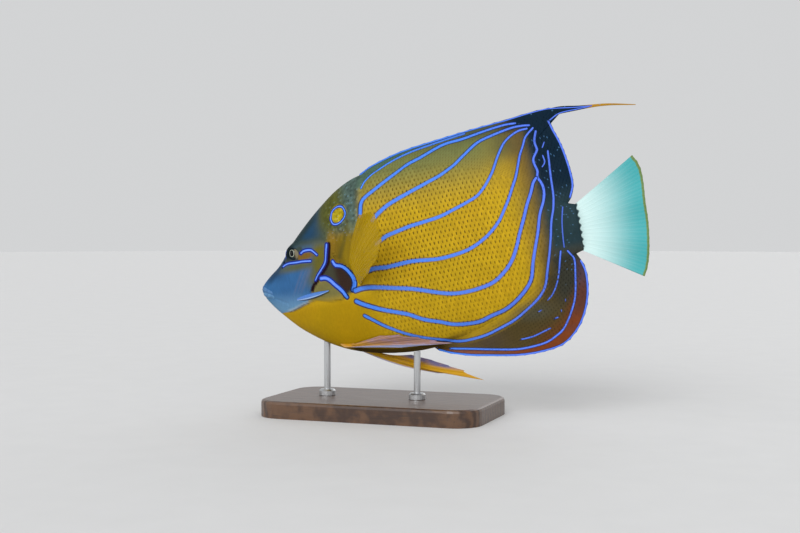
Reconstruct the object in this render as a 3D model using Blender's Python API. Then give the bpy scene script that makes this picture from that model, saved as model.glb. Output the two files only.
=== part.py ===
# A life-size museum model of an adult ring angelfish on a plain display stand.
#
# Lengths are in metres. The fish is drawn in its own axes: the snout tip is the origin, x runs
# to the tail, z towards the back and y to the right side, so the left side has y below zero.
# The fish then hangs from one empty, fish_pose, which tips its nose down and lifts it over the base.

import math

import bmesh
import bpy
import numpy as np
from mathutils import Matrix, Vector

# Pose and stand
NOSE_DOWN = math.radians(11.0)
SNOUT_OVER_FLOOR = 0.102
SNOUT_FROM_BASE_MIDDLE = -0.110
BASE_LENGTH, BASE_WIDTH, BASE_HEIGHT = 0.190, 0.108, 0.014
BASE_CORNER, BASE_EDGE = 0.022, 0.0025
ROD_RADIUS, COLLAR_RADIUS, COLLAR_HEIGHT = 0.0028, 0.0070, 0.0050
ROD_PLACES = {"front": 0.050, "back": 0.128}
GAP = 0.0003

# Body: (distance behind the snout tip, value) stations that smooth curves run through
BACK_LINE = (
    (0.000, 0.0018), (0.004, 0.0060), (0.010, 0.0106), (0.022, 0.0190), (0.035, 0.0328), (0.052, 0.0480),
    (0.068, 0.0605), (0.085, 0.0715), (0.104, 0.0785), (0.130, 0.0800), (0.165, 0.0765),
    (0.200, 0.0680), (0.235, 0.0510), (0.262, 0.0310), (0.274, 0.0225), (0.282, 0.0195),
)
BELLY_LINE = (
    (0.000, -0.0030), (0.004, -0.0105), (0.014, -0.0228), (0.034, -0.0420), (0.065, -0.0610),
    (0.100, -0.0710), (0.140, -0.0738), (0.184, -0.0665), (0.220, -0.0525), (0.254, -0.0320),
    (0.270, -0.0210), (0.282, -0.0170),
)
FLANK_LINE = (
    (0.000, 0.0034), (0.003, 0.0066), (0.008, 0.0093), (0.020, 0.0135), (0.042, 0.0205), (0.062, 0.0240),
    (0.085, 0.0268), (0.112, 0.0282), (0.150, 0.0262), (0.185, 0.0205), (0.220, 0.0140),
    (0.252, 0.0088), (0.282, 0.0056),
)
WIDEST_LINE = (
    (0.000, 0.0000), (0.022, 0.0010), (0.042, 0.0090), (0.080, 0.0060), (0.120, 0.0040),
    (0.200, 0.0060), (0.282, 0.0010),
)
RIDGE_HALF = 0.0020
LENS_POWER_HEAD, LENS_POWER_TRUNK = 0.95, 1.15
HEAD_BLEND = (0.045, 0.100)
TRUNK_END, STALK_END = 0.252, 0.2815
POINTS_A_SIDE = 19

# Gill cover and head details
GILL_LINE = (
    (-0.004, -0.0300), (0.013, -0.0232), (0.030, -0.0222), (0.045, -0.0190), (0.056, -0.0178),
    (0.070, -0.0205), (0.082, -0.0205), (0.0905, -0.0165), (0.0955, -0.0080), (0.0940, 0.0010),
    (0.0875, 0.0085), (0.0815, 0.0150), (0.0795, 0.0240), (0.0815, 0.0380), (0.0860, 0.0560),
    (0.0915, 0.0720), (0.0950, 0.0860),
)
GILL_COVER_SWELL, GILL_COVER_FRONT = 0.0015, (0.030, 0.066)
CHEEK_GROOVE = (
    (0.0760, 0.0270), (0.0758, 0.0190), (0.0730, 0.0115), (0.0640, 0.0020), (0.0560, -0.0085),
    (0.0525, -0.0125),
)
CHEEK_GROOVE_RADIUS = 0.0008
CHEEK_SPINE = ((0.0370, -0.0138), (0.0480, -0.0137), (0.0600, -0.0130), (0.0715, -0.0118))
CHEEK_SPINE_RADII = (0.0012, 0.0021, 0.0017, 0.0005)
CHEEK_SPINE_SINK = (0.0012, 0.0006, -0.0002, -0.0012)
EYE_PLACE, EYE_RADIUS = (0.0415, 0.0118, 0.0240), 0.0080
MOUTH_CORNER = (0.0105, 0.0086, -0.0070)
MOUTH_FRONT = (-0.0005, 0.0, -0.0012)
LIP_RADIUS, LIP_RISE, MOUTH_SLIT = 0.0027, 0.0023, 0.0008
NOSTRILS = ((0.0270, 0.0150, 0.0008), (0.0292, 0.0190, 0.0011))

# Fins: outer edges in the fish's own x and z, and counts of spines and rays
DORSAL_SPINES, DORSAL_RAYS = 13, 20
DORSAL_ROOTS = (0.101, 0.204, 0.273)
DORSAL_SPINE_EDGE = (
    (0.1060, 0.0800), (0.1180, 0.0848), (0.1450, 0.0908), (0.1810, 0.0942), (0.2280, 0.0970),
)
DORSAL_CREST = ((0.2370, 0.0973), (0.2510, 0.0983), (0.2640, 0.0989), (0.2740, 0.0987), (0.2800, 0.0976))
DORSAL_NOTCH = ((0.2810, 0.0920), (0.2732, 0.0885))
DORSAL_REAR_EDGE = (
    (0.2744, 0.0823), (0.2780, 0.0717), (0.2806, 0.0590), (0.2824, 0.0467), (0.2822, 0.0346), (0.2785, 0.0250),
)
FILAMENT_PATH = ((0.2620, 0.0935), (0.2800, 0.0950), (0.2960, 0.0936), (0.3190, 0.0912), (0.3420, 0.0860))
FILAMENT_HALVES = (0.0036, 0.0030, 0.0014, 0.0008, 0.0005)
ANAL_SPINES, ANAL_RAYS = 3, 20
ANAL_ROOTS = (0.1390, 0.1580, 0.2730)
ANAL_SPINE_EDGE = ((0.1470, -0.0765), (0.1570, -0.0805), (0.1690, -0.0840))
ANAL_EDGE = (
    (0.1790, -0.0862), (0.2140, -0.0914), (0.2350, -0.0914), (0.2520, -0.0880), (0.2650, -0.0780),
    (0.2740, -0.0640), (0.2790, -0.0490), (0.2800, -0.0340), (0.2778, -0.0250), (0.2755, -0.0215),
)
TAIL_RAYS = 17
TAIL_ROOT_X, TAIL_ROOT_HALF = 0.276, 0.0160
TAIL_TIPS = (
    (0.3240, -0.0462), (0.3278, -0.0390), (0.3322, -0.0240), (0.3345, -0.0060), (0.3355, 0.0100),
    (0.3365, 0.0260), (0.3360, 0.0400), (0.3320, 0.0482),
)
PECTORAL_RAYS = 15
PECTORAL_ROOT_TOP, PECTORAL_ROOT_LOW = (0.0955, 0.0085), (0.1015, -0.0120)
PECTORAL_SINK, PECTORAL_CUP = 0.0045, 0.0040
PECTORAL_TIPS = ((0.1263, 0.0416, 0.0700), (0.1383, 0.0408, 0.0745), (0.1432, 0.0288, 0.0740),
                 (0.1366, 0.0110, 0.0660), (0.1165, -0.0057, 0.0520))
NEAR_PELVIC_TIPS = ((0.1180, -0.0668), (0.1620, -0.0700), (0.1500, -0.0668), (0.1370, -0.0615),
                    (0.1220, -0.0565), (0.1050, -0.0550))
NEAR_PELVIC_LIFT, NEAR_PELVIC_SINK, NEAR_PELVIC_MARGIN = 0.0019, 0.0040, 0.0030
FAR_PELVIC_TIPS = ((0.1360, -0.0955), (0.1747, -0.1073), (0.1600, -0.0968), (0.1470, -0.0908),
                   (0.1330, -0.0838), (0.1160, -0.0765))
FAR_PELVIC_SPREAD, FAR_PELVIC_TIP_SPREAD, FAR_PELVIC_BOW = 0.0085, 0.0175, 0.0045
PELVIC_ROOT = ((0.0590, -0.0560), (0.0720, -0.0590))

# Fin thickness: half of it at the root and at the edge, and how far a ray stands out
MEDIAN_FIN = {"root": 0.0022, "edge": 0.00042, "ridge": 0.00045}
TAIL_FIN = {"root": 0.0022, "edge": 0.00036, "ridge": 0.00042}
PAIRED_FIN = {"root": 0.0014, "edge": 0.00034, "ridge": 0.00036}

COLOURS = {
    "body_skin": ((0.62, 0.42, 0.04), 0.45),
    "head_skin": ((0.22, 0.34, 0.50), 0.45),
    "tail_root_skin": ((0.10, 0.12, 0.13), 0.50),
    "tail_fin": ((0.72, 0.86, 0.86), 0.45),
    "pelvic_fin": ((0.74, 0.45, 0.05), 0.45),
    "pectoral_fin": ((0.68, 0.55, 0.16), 0.40),
    "median_fin": ((0.20, 0.16, 0.12), 0.45),
    "eye": ((0.03, 0.03, 0.03), 0.08),
    "stand_wood": ((0.16, 0.08, 0.045), 0.40),
    "stand_steel": ((0.55, 0.56, 0.57), 0.30),
}
METALS = ("stand_steel",)


# Curves

def smooth_through(stations, x):
    """Value at x of a smooth curve through (place, value) stations, held flat past its ends."""
    places = [place for place, _ in stations]
    values = [value for _, value in stations]
    if x <= places[0]:
        return values[0]
    if x >= places[-1]:
        return values[-1]
    i = max(k for k in range(len(places) - 1) if places[k] <= x)

    def slope(k):
        low, high = max(k - 1, 0), min(k + 1, len(places) - 1)
        return (values[high] - values[low]) / (places[high] - places[low])

    step = places[i + 1] - places[i]
    t = (x - places[i]) / step
    start, end = slope(i) * step, slope(i + 1) * step
    return ((2 * t**3 - 3 * t**2 + 1) * values[i] + (t**3 - 2 * t**2 + t) * start
            + (3 * t**2 - 2 * t**3) * values[i + 1] + (t**3 - t**2) * end)


def along(points, fraction):
    """The point at a fraction of the length of a smooth path through the points."""
    points = [Vector(p) for p in points]
    reach = [0.0]
    for a, b in zip(points, points[1:]):
        reach.append(reach[-1] + (b - a).length)
    place = fraction * reach[-1]
    return Vector([
        smooth_through([(r, p[axis]) for r, p in zip(reach, points)], place)
        for axis in range(len(points[0]))
    ])


def ease(low, high, x):
    """0 below low, 1 above high, and a smooth step between them."""
    t = min(max((x - low) / (high - low), 0.0), 1.0)
    return t * t * (3 - 2 * t)


# Body sections

def section(x, grow=0.0):
    """Back, belly, half-width and height of the widest place of the body at x."""
    return (smooth_through(BACK_LINE, x) + grow, smooth_through(BELLY_LINE, x) - grow,
            smooth_through(FLANK_LINE, x) + grow, smooth_through(WIDEST_LINE, x))


def half_width(x, z, grow=0.0):
    """Distance from the middle plane to the skin at (x, z), or 0 outside the outline."""
    back, belly, flank, widest = section(x, grow)
    reach = (back - widest) if z > widest else (widest - belly)
    level = abs(z - widest) / reach
    if level >= 1.0:
        return 0.0
    power = LENS_POWER_HEAD + (LENS_POWER_TRUNK - LENS_POWER_HEAD) * ease(*HEAD_BLEND, x)
    ridge = min(RIDGE_HALF + grow, 0.7 * flank)
    return ridge + (flank - ridge) * math.sqrt(1 - level * level) ** power


def gill_swell(x, z):
    """How far the gill cover stands proud of the trunk behind it."""
    back, belly, _, widest = section(x)
    level = (z - widest) / ((back - widest) if z > widest else (widest - belly))
    return GILL_COVER_SWELL * ease(*GILL_COVER_FRONT, x) * ease(1.0, 0.45, abs(level))


def body_ring(x, grow=0.0, swell=None):
    """One closed section of the body, up the left side and down the right."""
    back, belly, _, widest = section(x, grow)
    left = []
    for k in range(POINTS_A_SIDE):
        turn = math.sin(math.pi * (k / (POINTS_A_SIDE - 1) - 0.5))
        z = widest + turn * ((back - widest) if turn > 0 else (widest - belly))
        y = half_width(x, widest + (z - widest) * 0.999999, grow) + (swell(x, z) if swell else 0.0)
        left.append(Vector((x, -y, z)))
    right = [Vector((p.x, -p.y, p.z)) for p in reversed(left)]
    return left + right


def spread(low, high, count):
    return [low + (high - low) * k / (count - 1) for k in range(count)]


# Mesh helpers

def new_object(name, bm, collection, material=None):
    """A named object from a bmesh, held by the empty that poses the fish."""
    bmesh.ops.recalc_face_normals(bm, faces=bm.faces)
    mesh = bpy.data.meshes.new(name)
    bm.to_mesh(mesh)
    bm.free()
    item = bpy.data.objects.new(name, mesh)
    collection.objects.link(item)
    if material:
        mesh.materials.append(material)
    return item


def hang(item):
    """Parents a piece drawn in the fish's axes to the empty that poses it."""
    item.parent = bpy.data.objects["fish_pose"]
    return item


def as_cutter(item):
    item.hide_render = True
    item.display_type = "WIRE"
    return item


def loft(name, rings, collection, material=None):
    """A closed solid whose skin runs through rings of equally many points."""
    bm = bmesh.new()
    loops = [[bm.verts.new(p) for p in ring] for ring in rings]
    for a, b in zip(loops, loops[1:]):
        for i in range(len(a)):
            j = (i + 1) % len(a)
            bm.faces.new((a[i], a[j], b[j], b[i]))
    for end in (loops[0], loops[-1]):
        half = len(end) // 2
        for k in range(half - 1):
            bm.faces.new((end[k], end[k + 1], end[-k - 2], end[-k - 1]))
    return new_object(name, bm, collection, material)


def fin_sheet(name, columns, collection, material=None):
    """A thin closed fin: each column is a list of (middle point, half-thickness vector), root to
    edge, and both faces are split into triangles alike."""
    bm = bmesh.new()
    left = [[bm.verts.new(p + n) for p, n in column] for column in columns]
    right = [[bm.verts.new(p - n) for p, n in column] for column in columns]
    last, top = len(columns) - 1, len(columns[0]) - 1
    for i in range(last):
        for j in range(top):
            for side in (left, right):
                a, b, c, d = side[i][j], side[i + 1][j], side[i + 1][j + 1], side[i][j + 1]
                bm.faces.new((a, b, c))
                bm.faces.new((a, c, d))
    for i in (0, last):
        for j in range(top):
            bm.faces.new((left[i][j], left[i][j + 1], right[i][j + 1], right[i][j]))
    for j in (0, top):
        for i in range(last):
            bm.faces.new((left[i][j], left[i + 1][j], right[i + 1][j], right[i][j]))
    bmesh.ops.triangulate(bm, faces=[f for f in bm.faces if len(f.verts) > 3])
    return new_object(name, bm, collection, material)


def tube(name, points, radii, collection, material=None, resolution=2):
    """A mesh tube through the points, with a radius at each and closed ends."""
    curve = bpy.data.curves.new(name, "CURVE")
    curve.dimensions = "3D"
    curve.bevel_depth = 1.0
    curve.bevel_resolution = resolution
    curve.use_fill_caps = True
    spline = curve.splines.new("POLY")
    spline.points.add(len(points) - 1)
    for spot, place, radius in zip(spline.points, points, radii):
        spot.co = (*place, 1.0)
        spot.radius = radius
    item = bpy.data.objects.new(name + "_curve", curve)
    collection.objects.link(item)
    bpy.context.view_layer.update()
    graph = bpy.context.evaluated_depsgraph_get()
    mesh = bpy.data.meshes.new_from_object(item.evaluated_get(graph))
    bpy.data.objects.remove(item)
    bm = bmesh.new()
    bm.from_mesh(mesh)
    bpy.data.meshes.remove(mesh)
    bmesh.ops.remove_doubles(bm, verts=bm.verts, dist=0.00001)
    return new_object(name, bm, collection, material)


def ball(name, place, radius, collection, material=None, segments=24, rings=14):
    bm = bmesh.new()
    bmesh.ops.create_uvsphere(bm, u_segments=segments, v_segments=rings, radius=radius)
    bmesh.ops.rotate(bm, verts=bm.verts, matrix=ROLL_TO_SIDE)
    bmesh.ops.translate(bm, verts=bm.verts, vec=place)
    return new_object(name, bm, collection, material)


def slab(name, outline, half_depth, collection):
    """A cutter: an outline in the fish's x and z, pushed through from side to side."""
    bm = bmesh.new()
    face = bm.faces.new([bm.verts.new((x, -half_depth, z)) for x, z in outline])
    pushed = bmesh.ops.extrude_face_region(bm, geom=[face])
    verts = [v for v in pushed["geom"] if isinstance(v, bmesh.types.BMVert)]
    bmesh.ops.translate(bm, verts=verts, vec=(0, 2 * half_depth, 0))
    bmesh.ops.triangulate(bm, faces=bm.faces)
    return new_object(name, bm, collection)


def boolean(item, operation, operand, solver="EXACT"):
    """Applies one Boolean with an object or with a collection of them."""
    modifier = item.modifiers.new(operation.lower(), "BOOLEAN")
    modifier.operation = operation
    modifier.solver = solver
    if isinstance(operand, bpy.types.Collection):
        modifier.operand_type = "COLLECTION"
        modifier.collection = operand
    else:
        modifier.object = operand
    bpy.context.view_layer.update()
    graph = bpy.context.evaluated_depsgraph_get()
    mesh = bpy.data.meshes.new_from_object(item.evaluated_get(graph))
    item.modifiers.remove(modifier)
    old = item.data
    item.data = mesh
    bpy.data.meshes.remove(old)
    keep_largest(item)
    return item


def keep_largest(item):
    """Keeps only the largest closed surface of a mesh."""
    bm = bmesh.new()
    bm.from_mesh(item.data)
    left, islands = set(bm.verts), []
    while left:
        island, edge = set(), [left.pop()]
        while edge:
            vert = edge.pop()
            island.add(vert)
            near = {e.other_vert(vert) for e in vert.link_edges} & left
            left -= near
            edge.extend(near)
        islands.append(island)

    def reach(island):
        places = np.array([v.co for v in island])
        return float(np.prod(places.max(0) - places.min(0) + 1e-6))

    islands.sort(key=reach)
    loose = [v for island in islands[:-1] for v in island]
    bmesh.ops.delete(bm, geom=loose, context="VERTS")
    bm.to_mesh(item.data)
    bm.free()


def gather(name, items, home):
    """Moves pieces into a collection of their own, for one Boolean."""
    group = bpy.data.collections.new(name)
    bpy.context.scene.collection.children.link(group)
    for item in items:
        home.objects.unlink(item)
        group.objects.link(item)
    return group


def drop(*items):
    for item in items:
        if isinstance(item, bpy.types.Collection):
            drop(*item.objects)
            bpy.data.collections.remove(item)
        else:
            bpy.data.objects.remove(item)


def offset_line(points, distance):
    """A line in x and z moved sideways, to the left of its own direction."""
    moved = []
    for i, point in enumerate(points):
        before, after = points[max(i - 1, 0)], points[min(i + 1, len(points) - 1)]
        run = (after - before).normalized()
        moved.append(point + Vector((-run.y, run.x)) * distance)
    return moved


# Body nodes

def on_skin(x, z, rise, side, swell=None):
    """A point on the skin of one side, raised above it by rise."""
    proud = swell(x, z) if swell else 0.0
    return Vector((x, side * (half_width(x, z) + proud + rise), z))


def skin_normal(x, z, side):
    """The way the skin of one side faces at (x, z)."""
    step = 0.0005
    along_x = (half_width(x + step, z) - half_width(x - step, z)) / (2 * step)
    along_z = (half_width(x, z + step) - half_width(x, z - step)) / (2 * step)
    return Vector((-along_x, side, -along_z)).normalized()


def body_blank(name, rings, collection, grow=0.0, swell=None, material=None):
    return hang(loft(name, [body_ring(x, grow, swell) for x in rings], collection, material))


def gill_sides(collection):
    """Two cutters that part the head from the trunk along the gill opening, a gap apart."""
    line = [along(GILL_LINE, k / 44) for k in range(45)]
    towards_head = offset_line(line, GAP / 2)
    towards_trunk = offset_line(line, -GAP / 2)
    behind = [tuple(p) for p in towards_head] + [(0.30, 0.12), (0.30, -0.12), (-0.02, -0.12)]
    ahead = [tuple(p) for p in towards_trunk] + [(-0.05, 0.12), (-0.05, -0.030)]
    return (hang(as_cutter(slab("behind_gills", behind, 0.06, collection))),
            hang(as_cutter(slab("ahead_of_gills", ahead, 0.06, collection))))


def lip_path(rise, side_reach=1.0):
    """The bow of one lip, from the right corner of the mouth round the front to the left."""
    points = []
    for k in range(13):
        turn = math.pi * (k / 12 - 0.5)
        back = 1 - math.cos(turn)
        x = MOUTH_FRONT[0] + (MOUTH_CORNER[0] - MOUTH_FRONT[0]) * back
        y = -MOUTH_CORNER[1] * side_reach * math.sin(turn)
        z = MOUTH_FRONT[2] + (MOUTH_CORNER[2] - MOUTH_FRONT[2]) * back + rise * (1 - 0.55 * back)
        points.append(Vector((x + LIP_RADIUS * 0.7, y, z)))
    return points


def head(collection, cutters, material, behind_gills):
    rings = spread(0.0, 0.030, 11) + spread(0.0335, 0.103, 24)
    item = body_blank("head", rings, collection, 0.0, gill_swell, material)
    added = []
    for name, rise in (("upper_lip", LIP_RISE), ("lower_lip", -LIP_RISE)):
        radii = [LIP_RADIUS * (0.62 + 0.38 * math.sin(math.pi * k / 12)) for k in range(13)]
        added.append(hang(tube(name, lip_path(rise), radii, cutters, resolution=3)))
    for side in (-1, 1):
        points = [on_skin(x, z, -sink, side, gill_swell)
                  for (x, z), sink in zip(CHEEK_SPINE, CHEEK_SPINE_SINK)]
        steps = [k / 9 for k in range(10)]
        reach = [(k / (len(CHEEK_SPINE_RADII) - 1), r) for k, r in enumerate(CHEEK_SPINE_RADII)]
        added.append(hang(tube(f"cheek_spine_{side}", [along(points, t) for t in steps],
                               [smooth_through(reach, t) for t in steps], cutters)))
    group = gather("head_additions", added, cutters)
    boolean(item, "UNION", group)
    drop(group)

    removed = []
    for side in (-1, 1):
        x, y, z = EYE_PLACE
        removed.append(hang(ball(f"socket_{side}", (x, side * y, z), EYE_RADIUS + GAP, cutters)))
        groove = [on_skin(*along(CHEEK_GROOVE, k / 15), 0.0001, side, gill_swell) for k in range(16)]
        depth = [CHEEK_GROOVE_RADIUS * (0.35 + 0.65 * math.sin(math.pi * k / 15)) for k in range(16)]
        removed.append(hang(tube(f"cheek_groove_{side}", groove, depth, cutters)))
        for k, (nx, nz, radius) in enumerate(NOSTRILS):
            place = on_skin(nx, nz, 0.0, side, gill_swell)
            removed.append(hang(ball(f"nostril_{side}_{k}", place, radius, cutters, None, 10, 6)))
    slit_low = (MOUTH_CORNER[0] + 0.0010, MOUTH_CORNER[2] - 0.0004)
    fall = Vector(slit_low) - Vector((MOUTH_FRONT[0], MOUTH_FRONT[2]))
    lift = Vector((-fall.y, fall.x)).normalized() * MOUTH_SLIT / 2
    front = Vector((MOUTH_FRONT[0], MOUTH_FRONT[2])) - fall * 0.6
    outline = [front + lift * 1.6, front - lift * 1.6, Vector(slit_low)]
    removed.append(hang(slab("mouth_slit", [tuple(p) for p in outline], 0.02, cutters)))
    group = gather("head_cuts", removed, cutters)
    boolean(item, "DIFFERENCE", group)
    drop(group)
    return boolean(item, "DIFFERENCE", behind_gills)


def trunk(collection, material, ahead_of_gills):
    rings = spread(0.006, 0.036, 7) + spread(0.043, TRUNK_END, 31)
    item = body_blank("trunk", rings, collection, 0.0, None, material)
    return boolean(item, "DIFFERENCE", ahead_of_gills)


def tail_stalk(collection, material):
    return body_blank("tail_stalk", spread(TRUNK_END + GAP, STALK_END, 6), collection, 0.0, None, material)


def eyes(collection, material):
    x, y, z = EYE_PLACE
    for name, side in (("eye_left", -1), ("eye_right", 1)):
        hang(ball(name, (x, side * y, z), EYE_RADIUS, collection, material))


# Fins

def ray_columns(roots, tips, rows, fin, across, taper=None):
    """Columns of a fin: a ridge on every ray and a thinner fold of skin between rays.

    roots and tips give the two ends of each ray; across gives the direction of the thickness at
    a point, and taper scales each ray's thickness."""
    columns = []
    for i in range(2 * len(roots) - 1):
        on_ray = i % 2 == 0
        ray, place = i // 2, i / 2
        root = roots[ray] if on_ray else (roots[ray] + roots[ray + 1]) / 2
        tip = tips[ray] if on_ray else (tips[ray] + tips[ray + 1]) / 2
        if not on_ray:
            tip = root + (tip - root) * 0.985
        column = []
        for j in range(rows):
            v = j / (rows - 1)
            half = fin["edge"] + (fin["root"] - fin["edge"]) * (1 - v) ** 2
            if on_ray:
                half += fin["ridge"] * (1 - 0.6 * v)
            if taper:
                half *= taper(place, v)
            point = root + (tip - root) * v
            column.append((point, across(point, v) * half))
        columns.append(column)
    return columns


def sideways(point, v):
    return Vector((0, 1, 0))


def flat(points):
    """Points of the middle plane from (x, z) pairs."""
    return [Vector((p[0], 0.0, p[1])) for p in points]


def contour_roots(line, low, high, count, sink):
    """Ray roots along the back or belly, sunk into the body."""
    inward = -1 if line is BACK_LINE else 1
    return [Vector((x, 0.0, smooth_through(line, x) + inward * sink)) for x in spread(low, high, count)]


def dorsal_fin(collection, cutters, material, body_cut):
    start, middle, end = DORSAL_ROOTS
    roots = contour_roots(BACK_LINE, start, middle, DORSAL_SPINES, 0.005)
    roots += contour_roots(BACK_LINE, middle + 0.0055, end, DORSAL_RAYS, 0.004)
    tips = flat(along(DORSAL_SPINE_EDGE, k / (DORSAL_SPINES - 1)) for k in range(DORSAL_SPINES))
    tips += flat(DORSAL_CREST) + flat(DORSAL_NOTCH)
    rear = DORSAL_RAYS - len(DORSAL_CREST) - len(DORSAL_NOTCH)
    tips += flat(along(DORSAL_REAR_EDGE, k / (rear - 1)) for k in range(rear))
    item = hang(fin_sheet("dorsal_fin", ray_columns(roots, tips, 6, MEDIAN_FIN, sideways),
                          collection, material))
    steps = 15
    spine = [along(FILAMENT_PATH, k / (steps - 1)) for k in range(steps)]
    halves = [(k / (len(FILAMENT_HALVES) - 1), h) for k, h in enumerate(FILAMENT_HALVES)]
    columns = []
    for k, place in enumerate(spine):
        t = k / (steps - 1)
        high = smooth_through(halves, t)
        thick = 0.00075 - 0.0003 * t
        column = []
        for level, part in ((-1, 0.6), (-0.4, 1.0), (0.4, 1.0), (1, 0.6)):
            column.append((Vector((place[0], 0.0, place[1] + level * high)), Vector((0, thick * part, 0))))
        columns.append(column)
    filament = hang(fin_sheet("filament", columns, cutters))
    boolean(item, "UNION", filament)
    drop(filament)
    return boolean(item, "DIFFERENCE", body_cut)


def anal_fin(collection, material, body_cut):
    start, middle, end = ANAL_ROOTS
    roots = contour_roots(BELLY_LINE, start, middle - 0.006, ANAL_SPINES, 0.005)
    roots += contour_roots(BELLY_LINE, middle, end, ANAL_RAYS, 0.004)
    tips = flat(ANAL_SPINE_EDGE)
    tips += flat(along(ANAL_EDGE, k / (ANAL_RAYS - 1)) for k in range(ANAL_RAYS))
    item = hang(fin_sheet("anal_fin", ray_columns(roots, tips, 6, MEDIAN_FIN, sideways),
                          collection, material))
    return boolean(item, "DIFFERENCE", body_cut)


def caudal_fin(collection, material, body_cut):
    roots = [Vector((TAIL_ROOT_X, 0.0, 0.0010 + z)) for z in spread(-TAIL_ROOT_HALF, TAIL_ROOT_HALF, TAIL_RAYS)]
    tips = flat(along(TAIL_TIPS, k / (TAIL_RAYS - 1)) for k in range(TAIL_RAYS))
    item = hang(fin_sheet("caudal_fin", ray_columns(roots, tips, 7, TAIL_FIN, sideways),
                          collection, material))
    return boolean(item, "DIFFERENCE", body_cut)


def pectoral_fin(name, side, collection, material, body_cut):
    roots, tips = [], []
    for k in range(PECTORAL_RAYS):
        t = k / (PECTORAL_RAYS - 1)
        x = PECTORAL_ROOT_TOP[0] + (PECTORAL_ROOT_LOW[0] - PECTORAL_ROOT_TOP[0]) * t
        z = PECTORAL_ROOT_TOP[1] + (PECTORAL_ROOT_LOW[1] - PECTORAL_ROOT_TOP[1]) * t
        skin = on_skin(x, z, 0.0, side)
        tip_x, tip_z, tip_y = along(PECTORAL_TIPS, t)
        tip = Vector((tip_x, side * tip_y, tip_z))
        roots.append(skin - (tip - skin).normalized() * PECTORAL_SINK)
        tips.append(tip)
    blade = (tips[-1] - tips[0]).cross(tips[PECTORAL_RAYS // 2] - roots[PECTORAL_RAYS // 2]).normalized()
    columns = []
    for column in ray_columns(roots, tips, 6, PAIRED_FIN, lambda point, v: blade):
        top = len(column) - 1
        columns.append([
            (point + Vector((-1, 0, 0)) * PECTORAL_CUP * math.sin(math.pi * j / top) * 0.5, n)
            for j, (point, n) in enumerate(column)
        ])
    item = hang(fin_sheet(name, columns, collection, material))
    return boolean(item, "DIFFERENCE", body_cut)


def near_pelvic_fin(collection, material, body_cut):
    """The left pelvic fin, folded back against the belly."""
    rays = len(NEAR_PELVIC_TIPS)
    low, high = Vector(PELVIC_ROOT[0]), Vector(PELVIC_ROOT[1])
    roots = [Vector((p.x, 0.0, p.y)) for p in (low.lerp(high, k / (rays - 1)) for k in range(rays))]
    tips = flat(NEAR_PELVIC_TIPS)
    columns = []
    for column in ray_columns(roots, tips, 9, PAIRED_FIN, sideways):
        bent = []
        for j, (point, n) in enumerate(column):
            rise = ease(0.0, 0.22, j / (len(column) - 1))
            lift = NEAR_PELVIC_LIFT * rise - NEAR_PELVIC_SINK * (1 - rise)
            level = max(point.z, smooth_through(BELLY_LINE, point.x) + NEAR_PELVIC_MARGIN)
            facing = skin_normal(point.x, level, -1)
            place = Vector((point.x, -half_width(point.x, level), point.z))
            bent.append((place + facing * lift, facing * n.length))
        columns.append(bent)
    item = hang(fin_sheet("pelvic_fin_left", columns, collection, material))
    return boolean(item, "DIFFERENCE", body_cut, "MANIFOLD")


def far_pelvic_fin(collection, material, body_cut):
    """The right pelvic fin, hanging open below the belly."""
    rays = len(FAR_PELVIC_TIPS)
    low, high = Vector(PELVIC_ROOT[0]), Vector(PELVIC_ROOT[1])
    roots = [Vector((p.x, FAR_PELVIC_SPREAD, p.y + 0.001))
             for p in (low.lerp(high, k / (rays - 1)) for k in range(rays))]
    tips = [Vector((x, FAR_PELVIC_TIP_SPREAD, z)) for x, z in FAR_PELVIC_TIPS]
    columns = []
    for column in ray_columns(roots, tips, 9, PAIRED_FIN, sideways):
        top = len(column) - 1
        columns.append([
            (point + Vector((0, 0, -FAR_PELVIC_BOW * math.sin(math.pi * j / top))), n)
            for j, (point, n) in enumerate(column)
        ])
    item = hang(fin_sheet("pelvic_fin_right", columns, collection, material))
    return boolean(item, "DIFFERENCE", body_cut)


# Stand

def stand_base(collection, material):
    bm = bmesh.new()
    bmesh.ops.create_cube(bm, size=1.0)
    bmesh.ops.scale(bm, verts=bm.verts, vec=(BASE_LENGTH, BASE_WIDTH, BASE_HEIGHT))
    bmesh.ops.translate(bm, verts=bm.verts, vec=(0, 0, BASE_HEIGHT / 2))
    corners = [e for e in bm.edges if abs(e.verts[0].co.z - e.verts[1].co.z) > BASE_HEIGHT / 2]
    bmesh.ops.bevel(bm, geom=corners, offset=BASE_CORNER, segments=7, profile=0.5, affect="EDGES", material=-1)
    rim = [e for e in bm.edges if min(v.co.z for v in e.verts) > BASE_HEIGHT * 0.99]
    bmesh.ops.bevel(bm, geom=rim, offset=BASE_EDGE, segments=2, profile=0.5, affect="EDGES", material=-1)
    return new_object("stand_base", bm, collection, material)


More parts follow.
